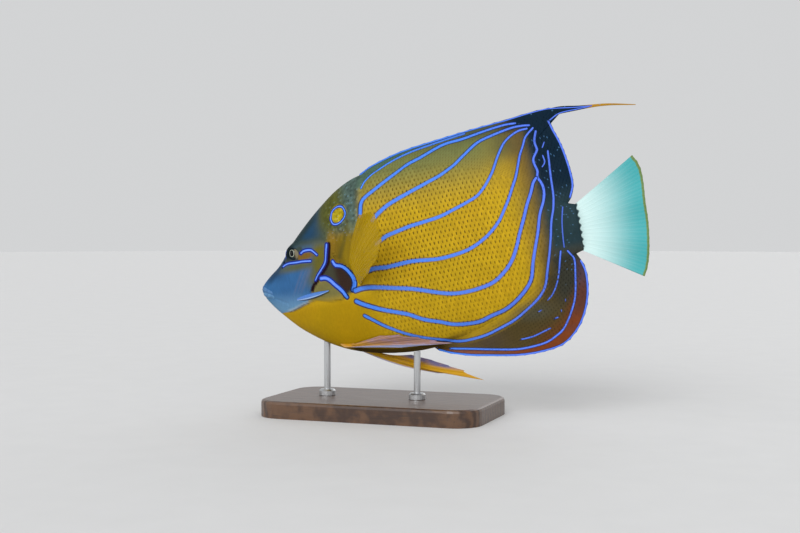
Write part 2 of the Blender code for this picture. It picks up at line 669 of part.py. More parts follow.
def stand_rod(name, fish_x, collection, material, body_cut):
    """A rod with a round foot collar, up to the underside of the fish."""
    fish_z = smooth_through(BELLY_LINE, fish_x)
    x = SNOUT_FROM_BASE_MIDDLE + fish_x * math.cos(NOSE_DOWN) - fish_z * math.sin(NOSE_DOWN)
    top = SNOUT_OVER_FLOOR + fish_x * math.sin(NOSE_DOWN) + fish_z * math.cos(NOSE_DOWN) + 0.006
    low = BASE_HEIGHT + GAP
    profile = ((0.0, top), (ROD_RADIUS, top), (ROD_RADIUS, low + COLLAR_HEIGHT),
               (COLLAR_RADIUS - 0.0012, low + COLLAR_HEIGHT), (COLLAR_RADIUS, low + COLLAR_HEIGHT - 0.0012),
               (COLLAR_RADIUS, low), (0.0, low))
    bm = bmesh.new()
    verts = [bm.verts.new((r, 0, z)) for r, z in profile]
    edges = [bm.edges.new(pair) for pair in zip(verts, verts[1:])]
    bmesh.ops.spin(bm, geom=verts + edges, cent=(0, 0, 0), axis=(0, 0, 1), angle=2 * math.pi,
                   steps=20, use_merge=True, use_duplicate=False)
    bmesh.ops.remove_doubles(bm, verts=bm.verts, dist=0.00001)
    bmesh.ops.translate(bm, verts=bm.verts, vec=(x, 0, 0))
    item = new_object(name, bm, collection, material)
    return boolean(item, "DIFFERENCE", body_cut)


def make_materials():
    made = {}
    for name, (colour, roughness) in COLOURS.items():
        material = bpy.data.materials.new(name)
        material.use_nodes = True
        shader = material.node_tree.nodes["Principled BSDF"]
        shader.inputs["Base Color"].default_value = (*colour, 1.0)
        shader.inputs["Roughness"].default_value = roughness
        shader.inputs["Metallic"].default_value = 1.0 if name in METALS else 0.0
        made[name] = material
    return made


def shade(item):
    item.data.shade_smooth()
    item.data.set_sharp_from_angle(angle=math.radians(40))


def main():
    for item in list(bpy.data.objects):
        bpy.data.objects.remove(item)
    fish = bpy.data.collections.new("ring_angelfish")
    cutters = bpy.data.collections.new("cutters")
    for collection in (fish, cutters):
        bpy.context.scene.collection.children.link(collection)
    pose = bpy.data.objects.new("fish_pose", None)
    fish.objects.link(pose)
    pose.location = (SNOUT_FROM_BASE_MIDDLE, 0, SNOUT_OVER_FLOOR)
    pose.rotation_euler = (0, -NOSE_DOWN, 0)
    bpy.context.view_layer.update()

    look = make_materials()
    behind_gills, ahead_of_gills = gill_sides(cutters)
    whole = [-GAP] + spread(0.004, 0.034, 7) + spread(0.041, STALK_END - 0.005, 34) + [STALK_END + GAP]
    body_cut = as_cutter(body_blank("body_cut", whole, cutters, GAP))

    head(fish, cutters, look["head_skin"], behind_gills)
    trunk(fish, look["body_skin"], ahead_of_gills)
    tail_stalk(fish, look["tail_root_skin"])
    eyes(fish, look["eye"])
    dorsal_fin(fish, cutters, look["median_fin"], body_cut)
    anal_fin(fish, look["median_fin"], body_cut)
    caudal_fin(fish, look["tail_fin"], body_cut)
    for name, side in (("pectoral_fin_left", -1), ("pectoral_fin_right", 1)):
        pectoral_fin(name, side, fish, look["pectoral_fin"], body_cut)
    near_pelvic_fin(fish, look["pelvic_fin"], body_cut)
    far_pelvic_fin(fish, look["pelvic_fin"], body_cut)
    stand_base(fish, look["stand_wood"])
    for name, place in ROD_PLACES.items():
        stand_rod(f"stand_rod_{name}", place, fish, look["stand_steel"], body_cut)
    for item in fish.objects:
        if item.type == "MESH":
            shade(item)


ROLL_TO_SIDE = Matrix.Rotation(math.pi / 2, 3, "X")
main()
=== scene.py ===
"""Dresses the still, life-size ring angelfish and its display stand.

The solids give the shape and the place of every piece. This script lays one skin over the flesh,
scales over the skin, and finer fins, eyes, lips and cheek spines in place of the plain ones.
Lengths are in metres, but the colour pattern is drawn in millimetres from the tip of the snout."""

import math

import bmesh
import bpy
import numpy as np
from mathutils import Matrix, Vector
from mathutils.kdtree import KDTree


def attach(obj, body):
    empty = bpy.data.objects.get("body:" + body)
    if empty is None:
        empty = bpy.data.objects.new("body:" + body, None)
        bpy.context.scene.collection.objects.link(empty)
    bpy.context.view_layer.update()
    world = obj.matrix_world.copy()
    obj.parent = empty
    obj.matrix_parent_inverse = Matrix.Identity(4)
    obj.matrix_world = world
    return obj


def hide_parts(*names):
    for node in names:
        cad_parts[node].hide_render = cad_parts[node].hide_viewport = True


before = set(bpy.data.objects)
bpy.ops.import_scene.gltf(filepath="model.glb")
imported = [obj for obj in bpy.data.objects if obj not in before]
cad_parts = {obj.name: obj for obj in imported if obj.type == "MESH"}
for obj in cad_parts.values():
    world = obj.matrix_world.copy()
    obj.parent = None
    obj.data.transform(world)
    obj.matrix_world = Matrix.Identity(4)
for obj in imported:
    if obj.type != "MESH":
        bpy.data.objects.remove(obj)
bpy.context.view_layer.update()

bl_info = {
    "name": "Ring angelfish",
    "version": (1, 0, 0),
    "blender": (4, 5, 0),
    "location": "View3D > Sidebar > Angelfish",
    "description": "Dresses a ring angelfish with skin, scales, fins and eyes",
    "category": "Object",
}

# Pose of the fish over the base: its own x runs from snout to tail, z up and -y is its left side

SIDES = (("left", -1), ("right", 1))
NOSE_DOWN = math.radians(11)
SNOUT = (-0.110, 0.0, 0.102)

# Outline of the body, each pair a distance from the snout and a height or a width

BACK_LINE = ((0, .0018), (.004, .0060), (.010, .0106), (.022, .0190), (.035, .0328), (.052, .0480),
             (.068, .0605), (.085, .0715), (.104, .0785), (.130, .0800), (.165, .0765),
             (.200, .0680), (.235, .0510), (.262, .0310), (.274, .0225), (.282, .0195))
BELLY_LINE = ((0, -.0030), (.004, -.0105), (.014, -.0228), (.034, -.0420), (.065, -.0610),
              (.100, -.0710), (.140, -.0738), (.184, -.0665), (.220, -.0525), (.254, -.0320),
              (.270, -.0210), (.282, -.0170))
FLANK_LINE = ((0, .0034), (.003, .0066), (.008, .0093), (.020, .0135), (.042, .0205),
              (.062, .0240), (.085, .0268), (.112, .0282), (.150, .0262), (.185, .0205),
              (.220, .0140), (.252, .0088), (.282, .0056))
WIDEST_LINE = ((0, 0), (.022, .0010), (.042, .0090), (.080, .0060), (.120, .0040), (.200, .0060),
               (.282, .0010))
RIDGE_HALF = 0.0020
LENS_POWERS = (0.95, 1.15)
LENS_BLEND = (0.045, 0.100)
BODY_END = 0.2813

# Forms of the head

HEAD_REACH = 0.112
GILL_LINE = ((-.004, -.0300), (.013, -.0232), (.030, -.0222), (.045, -.0190), (.056, -.0178),
             (.070, -.0205), (.082, -.0205), (.0905, -.0165), (.0955, -.0080), (.0940, .0010),
             (.0875, .0085), (.0815, .0150), (.0795, .0240), (.0815, .0380))
GILL_RELIEF = {"step": .0009, "slope": .007, "slot": .00072, "slot_wide": .0018}
GILL_TOP = 0.022
CHEEK_EDGE = ((.0760, .0270), (.0758, .0190), (.0730, .0115), (.0640, .0020), (.0560, -.0085),
              (.0525, -.0125))
CHEEK_RELIEF = {"step": .0006, "slope": .004, "slot": .0006, "slot_wide": .0014}
CHEEK_SPINE = ((.0370, -.0138), (.0480, -.0137), (.0600, -.0130), (.0715, -.0118))
SPINE_RADII = (.0012, .0021, .0017, .0003)
SPINE_SINK = (.0012, .0006, -.0002, -.0012)
LIP_FOLD = ((.0128, .0056), (.0122, .0000), (.0108, -.0062))
CHIN_FOLD = ((.0120, -.0085), (.0190, -.0120), (.0290, -.0175))
NOSTRILS = ((.0270, .0150, .0008), (.0292, .0190, .0011))
EYE = (.0415, .0118, .0240)
EYE_RADIUS = 0.0080
EYE_OPENING = 0.0048
EYE_LOOK = (-.09, -1.0, .13)
EYE_TUCK = 0.0045
TUCK_REACH = 0.0004
LID_REACH = (.0112, .0060)
LID_RISE = 0.0005
LID_FOLD = {"high": .0003, "away": .0010, "wide": .0006}
PUPIL_SLIM = 0.70
PUPIL_EDGE = (.325, .340)
RING_INNER, RING_OUTER = (.330, .345), (.375, .395)
MOUTH_CORNER = (.0105, .0086, -.0070)
MOUTH_FRONT = (-.0005, -.0012)
LIP_RADIUS = 0.0030
LIP_RISE = 0.0026
LIP_STEPS = 61
LIPS = (("upper_lip", 1.0, (.050, .135, .300), (.090, .205, .390)),
        ("lower_lip", -.85, (.075, .180, .340), (.125, .270, .430)))
CHEEK_SPINE_STEPS = 50

# Fins, each row a place on the edge from front to back. The halves are the web's half-thickness
# at the root and the edge, and the height of its rays.

DORSAL_ROOTS = (.101, .204, .2095, .273)
DORSAL_SPINES = ((.1060, .0800), (.1180, .0848), (.1450, .0908), (.1810, .0942), (.2280, .0970))
DORSAL_CREST = ((.2370, .0973), (.2510, .0983), (.2640, .0989), (.2740, .0987), (.2800, .0976),
                (.2810, .0920), (.2732, .0885))
DORSAL_REAR = ((.2744, .0823), (.2780, .0717), (.2806, .0590), (.2824, .0467), (.2822, .0346),
               (.2785, .0250))
FILAMENT = ((.2620, .0935), (.2800, .0950), (.2960, .0936), (.3190, .0912), (.3420, .0860))
FILAMENT_HALVES = (.0036, .0030, .0014, .0008, .0003)
FILAMENT_THICK = (.00066, .00030)
FILAMENT_STEPS = 120
ANAL_ROOTS = (.1390, .1520, .1580, .2730)
ANAL_SPINES = ((.1470, -.0765), (.1570, -.0805), (.1690, -.0840))
ANAL_EDGE = ((.1790, -.0862), (.2140, -.0914), (.2350, -.0914), (.2520, -.0880), (.2650, -.0780),
             (.2740, -.0640), (.2790, -.0490), (.2800, -.0340), (.2778, -.0250), (.2755, -.0215))
TAIL_ROOT = (.276, .0010, .0160)
TAIL_EDGE = ((.3240, -.0462), (.3278, -.0390), (.3322, -.0240), (.3345, -.0060), (.3355, .0100),
             (.3365, .0260), (.3360, .0400), (.3320, .0482))
PECTORAL_ROOTS = ((.0955, .0085), (.1015, -.0120))
PECTORAL_TIPS = ((.1263, .0416, .0700), (.1383, .0408, .0745), (.1432, .0288, .0740),
                 (.1366, .0110, .0660), (.1165, -.0057, .0520))
PECTORAL_CUP = 0.0040
PELVIC_ROOTS = ((.0590, -.0560), (.0720, -.0590))
NEAR_PELVIC = ((.1180, -.0668), (.1620, -.0700), (.1500, -.0668), (.1370, -.0615),
               (.1220, -.0565), (.1050, -.0550))
FAR_PELVIC = ((.1360, -.0955), (.1747, -.1073), (.1600, -.0968), (.1470, -.0908),
              (.1330, -.0838), (.1160, -.0765))
DORSAL_RAYS = (13, 20)
ANAL_RAYS = (3, 20)
TAIL_RAYS = 17
PECTORAL_RAYS = 15
MEDIAN_HALVES = (.0022, .00038, .00026)
TAIL_HALVES = (.0022, .00032, .00012)
PECTORAL_HALVES = (.0014, .00024, .00030)
PELVIC_HALVES = (.0014, .00030, .00034)
FLESH_MOST = 0.0070
FLESH_REACH = 0.0085
ROOT_COVER = 0.0032
FIN_STEPS = (.02, .01)

# Skin: stretches of the grid with the number of points in each, from snout to tail and from
# belly to back. There are more of them at the eye and the gill cover.

SKIN_COLUMNS = ((0, .0030, 9), (.0030, .0330, 56), (.0330, .0500, 56), (.0500, .1020, 92),
                (.1035, BODY_END, 100))
SKIN_TURNS = ((-1, .14, 62), (.14, .54, 46), (.54, 1, 26))
SKIN_STEPS = (.0004, .004)

# Scales: where they start and end, what they leave bare, and their grids and seeds

FLANK_SCALES = (.1095, .2785)
HEAD_SCALES = (.0165, .1085)
FIN_SCALES = {"dorsal": .86, "anal": .84}
FLANK_RISE = 0.00032
FIN_RISE = 0.00007
STALK_SHRINK = 0.45
EYE_BARE = 0.0102
SNOUT_BARE = 0.0215
FLANK_CELLS = (5, 6)
FINE_CELLS = (3, 3)
FLANK_SEED, HEAD_SEED, FIN_SEED = 11, 12, 13
BAKE_HOME = {"left": .02, "right": .52}
BAKE_SIZE = (.46, .94)
BAKE_HALF = 0.0015

# Studio: each light has a name, a place, the angle of its sun and its power. The lens and sensor
# are in millimetres.

AIM = Vector((0.03, 0, 0.11))
LIGHTS = (("key", (0.05, -1.15, 0.80), 0.6, 1.55), ("fill", (1.0, -0.9, 0.35), 0.8, 0.30),
          ("back", (0.2, 1.1, 0.7), 0.8, 0.35), ("low", (-0.9, -0.7, 0.25), 0.8, 0.50))
STUDIO_COLOUR = (.90, .91, .92, 1)
STUDIO_POWER = 0.72
CAMERA_PLACE = (0.39215, -1.03731, 0.16228)
CAMERA_TURN = math.radians(20)
CAMERA_TILT = math.radians(2)
CAMERA_LENS = 60
CAMERA_SENSOR = 36


def inside_edge(edge, inset):
    """Places in millimetres a little to the right of an edge, seen along it."""
    places = np.array(edge) * 1000
    run = np.gradient(places, axis=0)
    run /= np.linalg.norm(run, axis=1, keepdims=True)
    return places + np.stack([run[:, 1], -run[:, 0]], 1) * inset


# Blue lines of the pattern: group, half-width at both ends, strength at both ends, and places in
# millimetres. Neighbours are in different groups, so each keeps its own dark edge. What a
# strength has above 1 widens that edge.

LINES = {
    "back_margin": ("b", (.85, .34), (.8, 1), inside_edge(
        DORSAL_SPINES + DORSAL_CREST[:4] + ((.2960, .0950), (.3080, .0935)), .8)),
    "filament_low": ("c", (.5, .28), (1, 1), inside_edge(
        ((.2732, .0885), (.2810, .0920), (.2960, .0922), (.3060, .0920)), -.5)),
    "first": ("c", (.75, .85), (1, .7), (
        (110.8, 66.6), (114.2, 71.9), (122.3, 78), (136.9, 84.1), (153.9, 88.2), (172, 90.6),
        (184, 91.8), (202, 93.4))),
    "second": ("a", (1.7, .8), (.9, 1), (
        (108.8, 43.5), (110.2, 53), (113, 57.3), (123.4, 63.2), (142.4, 73.7), (150, 78.3),
        (160.6, 81.6), (182, 88.3), (200, 89.5), (220, 92), (235.5, 93.2), (245, 92.6))),
    "third": ("c", (1.9, .8), (.9, 1), (
        (119.2, 37.9), (122.5, 41), (132, 47), (142, 51), (167, 59.4), (179, 63.7), (189, 69.4),
        (197, 75.2), (211, 83.8), (222, 86.7), (241, 89.6), (251, 89.3), (256, 88.4))),
    "fourth": ("b", (1.8, .8), (.9, 1), (
        (119.6, 18.4), (123.4, 20.3), (130, 23.2), (139, 25), (149, 27), (163, 28.5),
        (175, 30.2), (187, 33.7), (199, 37.7), (206.6, 41), (213, 47), (218, 54), (223, 63.7),
        (227, 71), (233, 79), (239, 83.2), (246.5, 86), (253.6, 86.3))),
    "fifth": ("a", (1.9, .8), (.9, 1), (
        (108.6, -1.8), (114.3, -1), (125.5, -1.8), (146.5, -1), (167, -3), (179, -2.5),
        (191, -.7), (200.5, 2.7), (211, 8.8), (220.4, 17.4), (226, 25.5), (231.5, 35),
        (238, 50), (244, 66.3), (248, 73.6), (251.3, 80), (258.5, 85.7))),
    "sixth": ("c", (1.9, 1.2), (.8, 1), (
        (94.4, -15.8), (101, -15), (110, -15.8), (130, -20), (144, -23.3), (164, -30),
        (174, -32.5), (186, -33), (198, -31.7), (208, -29), (217, -23), (224.4, -15.7),
        (230, -6.4), (235, 5), (240, 15.8), (244.4, 26.5), (248.4, 35), (251, 42.7), (254, 46))),
    "seventh": ("b", (1.8, 1.05), (.9, 1), (
        (93.3, -24.6), (100.4, -29), (112, -34.4), (124, -38.8), (134, -42.5), (145, -48.6),
        (158, -53.2), (168, -57), (179, -58.5), (189, -58.4), (199, -55.5), (210, -52.8),
        (220, -47.7), (230, -40), (236.6, -32), (240.6, -20), (245, -8), (249.3, 3.7),
        (253, 16.7), (257.5, 27.4), (258.5, 36.5), (257.5, 41.3), (255, 46))),
    "seventh_end": ("b", (1.0, .9), (1, .9), (
        (254.8, 46.7), (256, 51), (254.3, 58.2), (254.4, 61.7), (258.8, 68.4), (257.6, 72.7),
        (258.2, 77.2), (260.3, 82.6))),
    "hook": ("c", (.6, .5), (1, .9), ((262.3, 62.6), (263, 57.2), (260.3, 53.7))),
    "fleck": ("c", (.5, .5), (.9, .9), ((265.5, 72.8), (263.2, 68.9))),
    "eighth": ("a", (1.3, .8), (.9, .9), (
        (97, -37.3), (103, -42), (110, -47.4), (120.5, -54), (131, -59.6), (142, -64),
        (155, -68), (167, -71.5), (178.5, -71.6), (191, -70), (204, -66.2), (216, -62),
        (228, -55.2), (239, -47.7), (245, -40.6), (249.4, -30), (254.5, -15.7), (258.3, -2.5),
        (261, 9.5), (264, 19.2), (265.2, 28.3), (265.7, 45.5), (267, 65.2))),
    "stalk": ("a", (.55, .55), (.7, .7), ((271.4, 19), (269.2, 8), (267.7, -4.3), (267, -12.2))),
    "inner_anal": ("c", (.7, .6), (1, .8), (
        (263.6, -15), (260, -26), (256.5, -36), (253.5, -42), (249.7, -47.4), (245, -51.2))),
    "ninth": ("b", (.75, .85), (1, 1), (
        (269, -15.7), (272.2, -22.6), (271.8, -28.2), (269, -44.8), (266.6, -53.8),
        (262, -63.3), (256.6, -71.7), (252.4, -76.7), (245.6, -80.7), (238, -84),
        (226, -85.6), (213.6, -85.8), (192.5, -82.6), (172, -78.8), (157.7, -76.2))),
    "anal_margin": ("a", (.9, .8), (1, 1), inside_edge(ANAL_SPINES + ANAL_EDGE[:-1], -.9)),
    "anal_dash": ("c", (.65, .65), (.9, .8), ((216.8, -78.4), (226, -78), (236, -75.6),
                                              (242.8, -73.5))),
    "anal_dot_front": ("c", (.55, .5), (.9, .8), ((236, -58.9), (238.6, -58.2))),
    "anal_dot_low": ("c", (.7, .6), (1, .9), ((247.4, -66.6), (250.8, -66))),
    "anal_dot_mid": ("a", (.5, .5), (.8, .8), ((254.1, -62), (254.5, -59.4))),
    "anal_dot_rear": ("c", (.5, .5), (.7, .6), ((258.9, -54.4), (259.1, -52.8))),
    "rear_margin": ("a", (.8, .8), (1, 1), inside_edge(
        ((.2726, .0885),) + DORSAL_REAR, .9)),
    "front_brow": ("b", (.6, .5), (1.8, 1.6), ((33.2, 22.4), (33.9, 25.6), (35.2, 28.2))),
    "brow": ("b", (1.0, .7), (1.6, 1.8), ((49, 23.6), (52.8, 24.8), (59.8, 24.4), (62.5, 22.4),
                                          (65.5, 19.3))),
    "cheek": ("a", (.7, .85), (1.7, 1.6), ((27.9, 15.8), (32, 17), (37, 17.2), (43.5, 16.7),
                                           (49.7, 16.5), (58.5, 15.4))),
    "cheek_edge": ("c", (.8, .6), (2, 2), ((75.8, 26.1), (74.2, 17.6), (72.5, 12), (68, 7),
                                           (62.6, 2), (60.2, -1.2))),
    "gill_arc": ("b", (1.3, 1.55), (1.2, 1.2), (
        (79.6, 11.2), (81.4, 7.6), (85.4, 6.6), (89, 4.4), (92.7, 0), (95.3, -5.4), (95.3, -10.4),
        (92.7, -15))),
    "gill_low": ("a", (1.6, 1.5), (1.2, 1.2), (
        (65.6, -.6), (67.6, -.6), (70.8, -1.3), (74, -3.8), (77.7, -8.2), (81.5, -12.2),
        (84.3, -16), (85.7, -19.6))),
    "shoulder_ring": ("c", (.62, .62), (1.7, 1.7), (
        (81.6, 46.4), (83.0, 52.1), (87.5, 55.2), (92.3, 54.8), (95.3, 50.9), (95.5, 46.7),
        (92.4, 42.8), (87.6, 40.8), (83.5, 41.9), (81.6, 46.4))),
}

# Groups of the lines, their dark rims in half-widths, parts of two lines, and dark patches in
# millimetres: a painted shadow along the gill cover's crease, dark streaks at the front ends of
# three lines, and a painted shadow behind the cheek's edge

LINE_GROUPS = "abc"
EIGHTH_LOW, NINTH_LOW, NINTH_REAR = slice(16), slice(3, None), slice(8)
RIM = (1.26, 1.62)
RIM_MORE = 0.9
FAR_OFF = 30
GILL_CREASE_SHADOW = ((97, 42), (95, 34), (92.3, 26), (89.5, 20), (86.5, 14))
LINE_SHADOWS = (((112.5, 32), (116.5, 35.5), (120, 38.6)), ((113, 14.5), (117, 16.8), (121, 19.1)),
                ((100.5, -5), (105, -2.8), (110, -1.6)))
EDGE_SHADOW = ((78.3, 26.4), (77, 18), (75.3, 11.5), (70.1, 5.7), (63, -.9), (57.2, -5.6),
               (53.2, -11.5))


# Colours of the small patches of the pattern and of the painted shadows and highlights, besides
# those that a user would change

SHADES = {
    "pelvic_fin_shadow": (.034, .020, .010), "back_teal": (.045, .140, .115), "rear_crest": (.125, .135, .054),
    "crest": (.060, .080, .065), "anal_root": (.040, .040, .028),
    "filament_tip": (.470, .240, .022), "anal_plum": (.075, .045, .058),
    "anal_brown": (.115, .042, .028), "anal_grey": (.078, .085, .060),
    "anal_front": (.090, .062, .045), "anal_orange": (.300, .100, .058),
    "behind_brow": (.058, .082, .050), "low_nape": (.150, .165, .075),
    "nape_olive": (.098, .106, .018), "crown_olive": (.098, .102, .016),
    "brow_teal": (.040, .070, .062), "temple": (.085, .095, .034),
    "gill_crease_shadow": (.085, .075, .014), "line_shadow": (.110, .100, .022),
    "gill_orange": (.300, .165, .012), "low_cover": (.205, .185, .060),
    "cheek_olive": (.115, .120, .040), "cheek_bronze": (.160, .138, .016),
    "cheek_band": (.115, .118, .030), "cheek_streak": (.130, .170, .290),
    "pale_mouth": (.085, .235, .370), "under_eye": (.048, .055, .030),
    "snout_ridge": (.016, .050, .110), "forehead_ridge": (.018, .040, .044),
    "eye_olive": (.050, .070, .048), "eye_orange": (.215, .120, .020),
    "eye_socket": (.008, .017, .022), "cover_rim_highlight": (.42, .52, .56),
    "rim_shadow": (.030, .035, .030), "cheek_patch": (.060, .062, .040),
    "edge_shadow": (.014, .003, .008), "nostril": (.006, .010, .016),
}
SPECK = (.10, .26, .52)
PELVIC_EDGE = (.420, .470, .760)


# Settings that a user would change

def colour(name, text, rgb):
    return bpy.props.FloatVectorProperty(name=name, description=text, default=rgb, size=3,
                                         subtype="COLOR", min=0.0, max=1.0)


def length(name, text, metres):
    return bpy.props.FloatProperty(name=name, description=text, default=metres, min=0.0,
                                   unit="LENGTH", subtype="DISTANCE")


class AngelfishColours(bpy.types.PropertyGroup):
    gold: colour("Gold", "Flank between the stripes", (.585, .368, .011))
    chest: colour("Chest", "Plain gold of the chest", (.480, .290, .004))
    olive: colour("Olive", "Upper flank towards the back", (.190, .212, .070))
    dusk: colour("Dusk", "Brown of the flank towards the tail", (.150, .098, .032))
    night: colour("Night", "Near-black navy of the rear dorsal fin", (.003, .017, .036))
    stalk: colour("Tail stalk", "Dark grey-green in front of the tail", (.020, .046, .056))
    rust: colour("Rust", "Edge band of the anal fin", (.205, .050, .012))
    nape: colour("Nape", "Grey-teal behind the head", (.078, .124, .104))
    crown: colour("Crown", "Deep blue of the forehead", (.015, .062, .130))
    face: colour("Face", "Blue of the snout and cheeks", (.040, .145, .340))
    chin: colour("Chin", "Pale blue of the chin and lips", (.160, .320, .500))
    bronze: colour("Bronze", "Brown-orange of the gill cover", (.190, .125, .008))
    maroon: colour("Maroon", "Dark patch behind the cheek", (.040, .022, .016))
    stripe: colour("Stripe", "Core of the blue lines", (.060, .215, .840))
    stripe_edge: colour("Stripe edge", "Dark rim of the blue lines", (.008, .020, .075))
    dash: colour("Dash", "Dark mark on each scale", (.085, .055, .004))
    tail: colour("Tail", "White of the tail fin", (.600, .790, .775))
    tail_rim: colour("Tail rim", "Turquoise towards the tail's edge", (.052, .365, .385))
    pectoral: colour("Pectoral", "Clear gold of the pectoral fins", (.480, .305, .002))


class AngelfishSizes(bpy.types.PropertyGroup):
    coat: length("Coat depth", "How far the skin lies inside the solids", 0.00030)
    pitch: length("Scale pitch", "Distance between scales along a row", 0.0034)
    row: length("Scale row", "Distance between rows of scales", 0.0040)
    fine: length("Fine pitch", "Distance between the small scales of head and chest", 0.0021)
    fin_scale: length("Fin scale pitch", "Distance between the scales on the fins", 0.0026)
    floor: length("Floor", "Radius of the floor", 6.0)


def colours():
    """The colours set in the panel, by name."""
    kept = bpy.context.scene.angelfish_colours
    return {name: np.array(getattr(kept, name)) for name in AngelfishColours.__annotations__}


def sizes():
    return bpy.context.scene.angelfish_sizes


# Curves and outlines

def ease(low, high, x):
    """0 at low, 1 at high and a smooth step between them."""
    t = np.clip((np.asarray(x, float) - low) / (high - low), 0, 1)
    return t * t * (3 - 2 * t)


def through(stations, at):
    """A smooth curve through pairs of place and value."""
    places, values = (np.array(row, float) for row in zip(*stations))
    at = np.clip(at, places[0], places[-1])
    i = np.clip(np.searchsorted(places, at, side="right") - 1, 0, len(places) - 2)
    order = np.arange(len(places))
    before, after = np.maximum(order - 1, 0), np.minimum(order + 1, len(places) - 1)
    slopes = (values[after] - values[before]) / (places[after] - places[before])
    gap = places[i + 1] - places[i]
    t = (at - places[i]) / gap
    return ((2 * t**3 - 3 * t**2 + 1) * values[i] + (t**3 - 2 * t**2 + t) * gap * slopes[i]
            + (3 * t**2 - 2 * t**3) * values[i + 1] + (t**3 - t**2) * gap * slopes[i + 1])


def spread(values, count):
    """A smooth curve through evenly spaced values."""
    return through(list(zip(np.linspace(0, 1, len(values)), values)), np.linspace(0, 1, count))


def path(points, count):
    """Evenly spaced places on a smooth path."""
    points = np.array(points, float)
    steps = np.linalg.norm(np.diff(points, axis=0), axis=1)
    reach = np.concatenate([[0], np.cumsum(steps)])
    at = np.linspace(0, reach[-1], count)
    return np.stack([through(list(zip(reach, column)), at) for column in points.T], 1)


def to_line(line, x, z, reach):
    """Offset to the nearest place on a line, the side it is on and the fraction along it.

    Points further than reach from the line's box are left far away."""
    low, high = line.min(0) - reach, line.max(0) + reach
    near = (x > low[0]) & (x < high[0]) & (z > low[1]) & (z < high[1])
    dx, dz = np.full(x.shape, 1e3), np.full(x.shape, 1e3)
    side, part = np.zeros(x.shape), np.zeros(x.shape)
    spots = np.flatnonzero(near)
    start, run = line[:-1], np.diff(line, axis=0)
    square = (run**2).sum(1)
    for first in range(0, len(spots), 30000):
        some = spots[first:first + 30000]
        px, pz = x[some, None], z[some, None]
        t = ((px - start[:, 0]) * run[:, 0] + (pz - start[:, 1]) * run[:, 1]) / square
        t = np.clip(t, 0, 1)
        ox, oz = px - start[:, 0] - t * run[:, 0], pz - start[:, 1] - t * run[:, 1]
        best = np.argmin(ox**2 + oz**2, axis=1)
        rows = np.arange(len(some))
        dx[some], dz[some] = ox[rows, best], oz[rows, best]
        side[some] = np.sign(run[best, 0] * dz[some] - run[best, 1] * dx[some])
        part[some] = (best + t[rows, best]) / len(run)
    return dx, dz, side, part


def off_line(points, count, x, z, reach):
    """Distance to a smooth path."""
    dx, dz, _, _ = to_line(path(points, count), x, z, reach)
    return np.hypot(dx, dz)


def beside(points, count, x, z, reach, most):
    """Distance to a smooth path up to most, negative on its right."""
    dx, dz, side, _ = to_line(path(points, count), x, z, reach)
    return side * np.minimum(np.hypot(dx, dz), most)


def section(x):
    """Back, belly, half-width and height of the widest place at a distance from the snout."""
    return tuple(through(line, x) for line in (BACK_LINE, BELLY_LINE, FLANK_LINE, WIDEST_LINE))


def lens(x, level, flank):
    """Half-width of the body where level is 0 at the widest place and 1 on the ridge."""
    power = LENS_POWERS[0] + (LENS_POWERS[1] - LENS_POWERS[0]) * ease(*LENS_BLEND, x)
    ridge = np.minimum(RIDGE_HALF, 0.7 * flank)
    swell = 0.0015 * ease(.030, .066, x) * ease(1, .45, np.abs(level))
    swell = swell * ease(.104, .094, x)
    return ridge + (flank - ridge) * np.sqrt(np.clip(1 - level**2, 0, 1))**power + swell


def half_width(x, z):
    """Half-width of the body at a place in its middle plane."""
    back, belly, flank, widest = section(x)
    level = (z - widest) / np.where(z > widest, back - widest, widest - belly)
    return lens(x, np.clip(level, -1, 1), flank)


# Skin of the body, and the forms that stand on it

def bare_side(x, turn):
    """The left side without its folds: turn is -1 on the belly and 1 on the back."""
    x, turn = np.broadcast_arrays(x, np.clip(turn, -1, 1))
    back, belly, flank, widest = section(x)
    level = np.sin(turn * math.pi / 2)
    z = widest + level * np.where(level > 0, back - widest, widest - belly)
    return np.stack([x, -lens(x, level, flank), z], -1)


def facing(sheet, u, w, step_u, step_w):
    """The way that the left face of a sheet looks."""
    along_u = sheet(u + step_u, w) - sheet(u - step_u, w)
    along_w = sheet(u, w + step_w) - sheet(u, w - step_w)
    out = np.cross(along_u, along_w)
    return out / np.maximum(np.linalg.norm(out, axis=-1, keepdims=True), 1e-12)


def relief(x, z):
    """Height of the gill cover's edge, the cheek's edge, the folds and the nostrils."""
    flat_x, flat_z = x.ravel(), z.ravel()
    rise = np.zeros(flat_x.shape)
    head = np.flatnonzero(flat_x < HEAD_REACH)
    hx, hz = flat_x[head], flat_z[head]
    total = np.zeros(hx.shape)

    def edge(inside, step, slope, slot, slot_wide):
        """Rises to a step on the inside of an edge and dips to a slot outside it."""
        cover = step * np.exp(-(np.maximum(inside, 0) / slope)**2)
        dip = -slot * np.exp(np.minimum(inside, 0) / slot_wide)
        share = ease(-.0003, .0003, inside)
        return cover * share + dip * (1 - share)

    inside = beside(GILL_LINE, 90, hx, hz, 0.03, 0.05)
    total += (ease(.026, .014, hz) * ease(.022, .036, hx)
              * edge(inside, **GILL_RELIEF))
    dx, dz, side, part = to_line(path(CHEEK_EDGE, 60), hx, hz, 0.02)
    inside = -side * np.minimum(np.hypot(dx, dz), 0.05)
    total += (ease(0, .12, part) * ease(1, .9, part)
              * edge(inside, **CHEEK_RELIEF))

    for fold, depth, wide in ((LIP_FOLD, .0005, .0007), (CHIN_FOLD, .0004, .0008)):
        dx, dz, _, part = to_line(path(fold, 30), hx, hz, 0.01)
        near = np.exp(-(np.hypot(dx, dz) / wide)**2)
        total -= depth * near * ease(0, .2, part) * ease(1, .8, part)

    for nx, nz, radius in NOSTRILS:
        r = np.hypot(hx - nx, hz - nz) / radius
        total += .0004 * np.exp(-((r - 1.6) / .45)**2) - .0011 * np.exp(-(r / .8)**2)
    rise[head] = total
    return rise.reshape(x.shape)


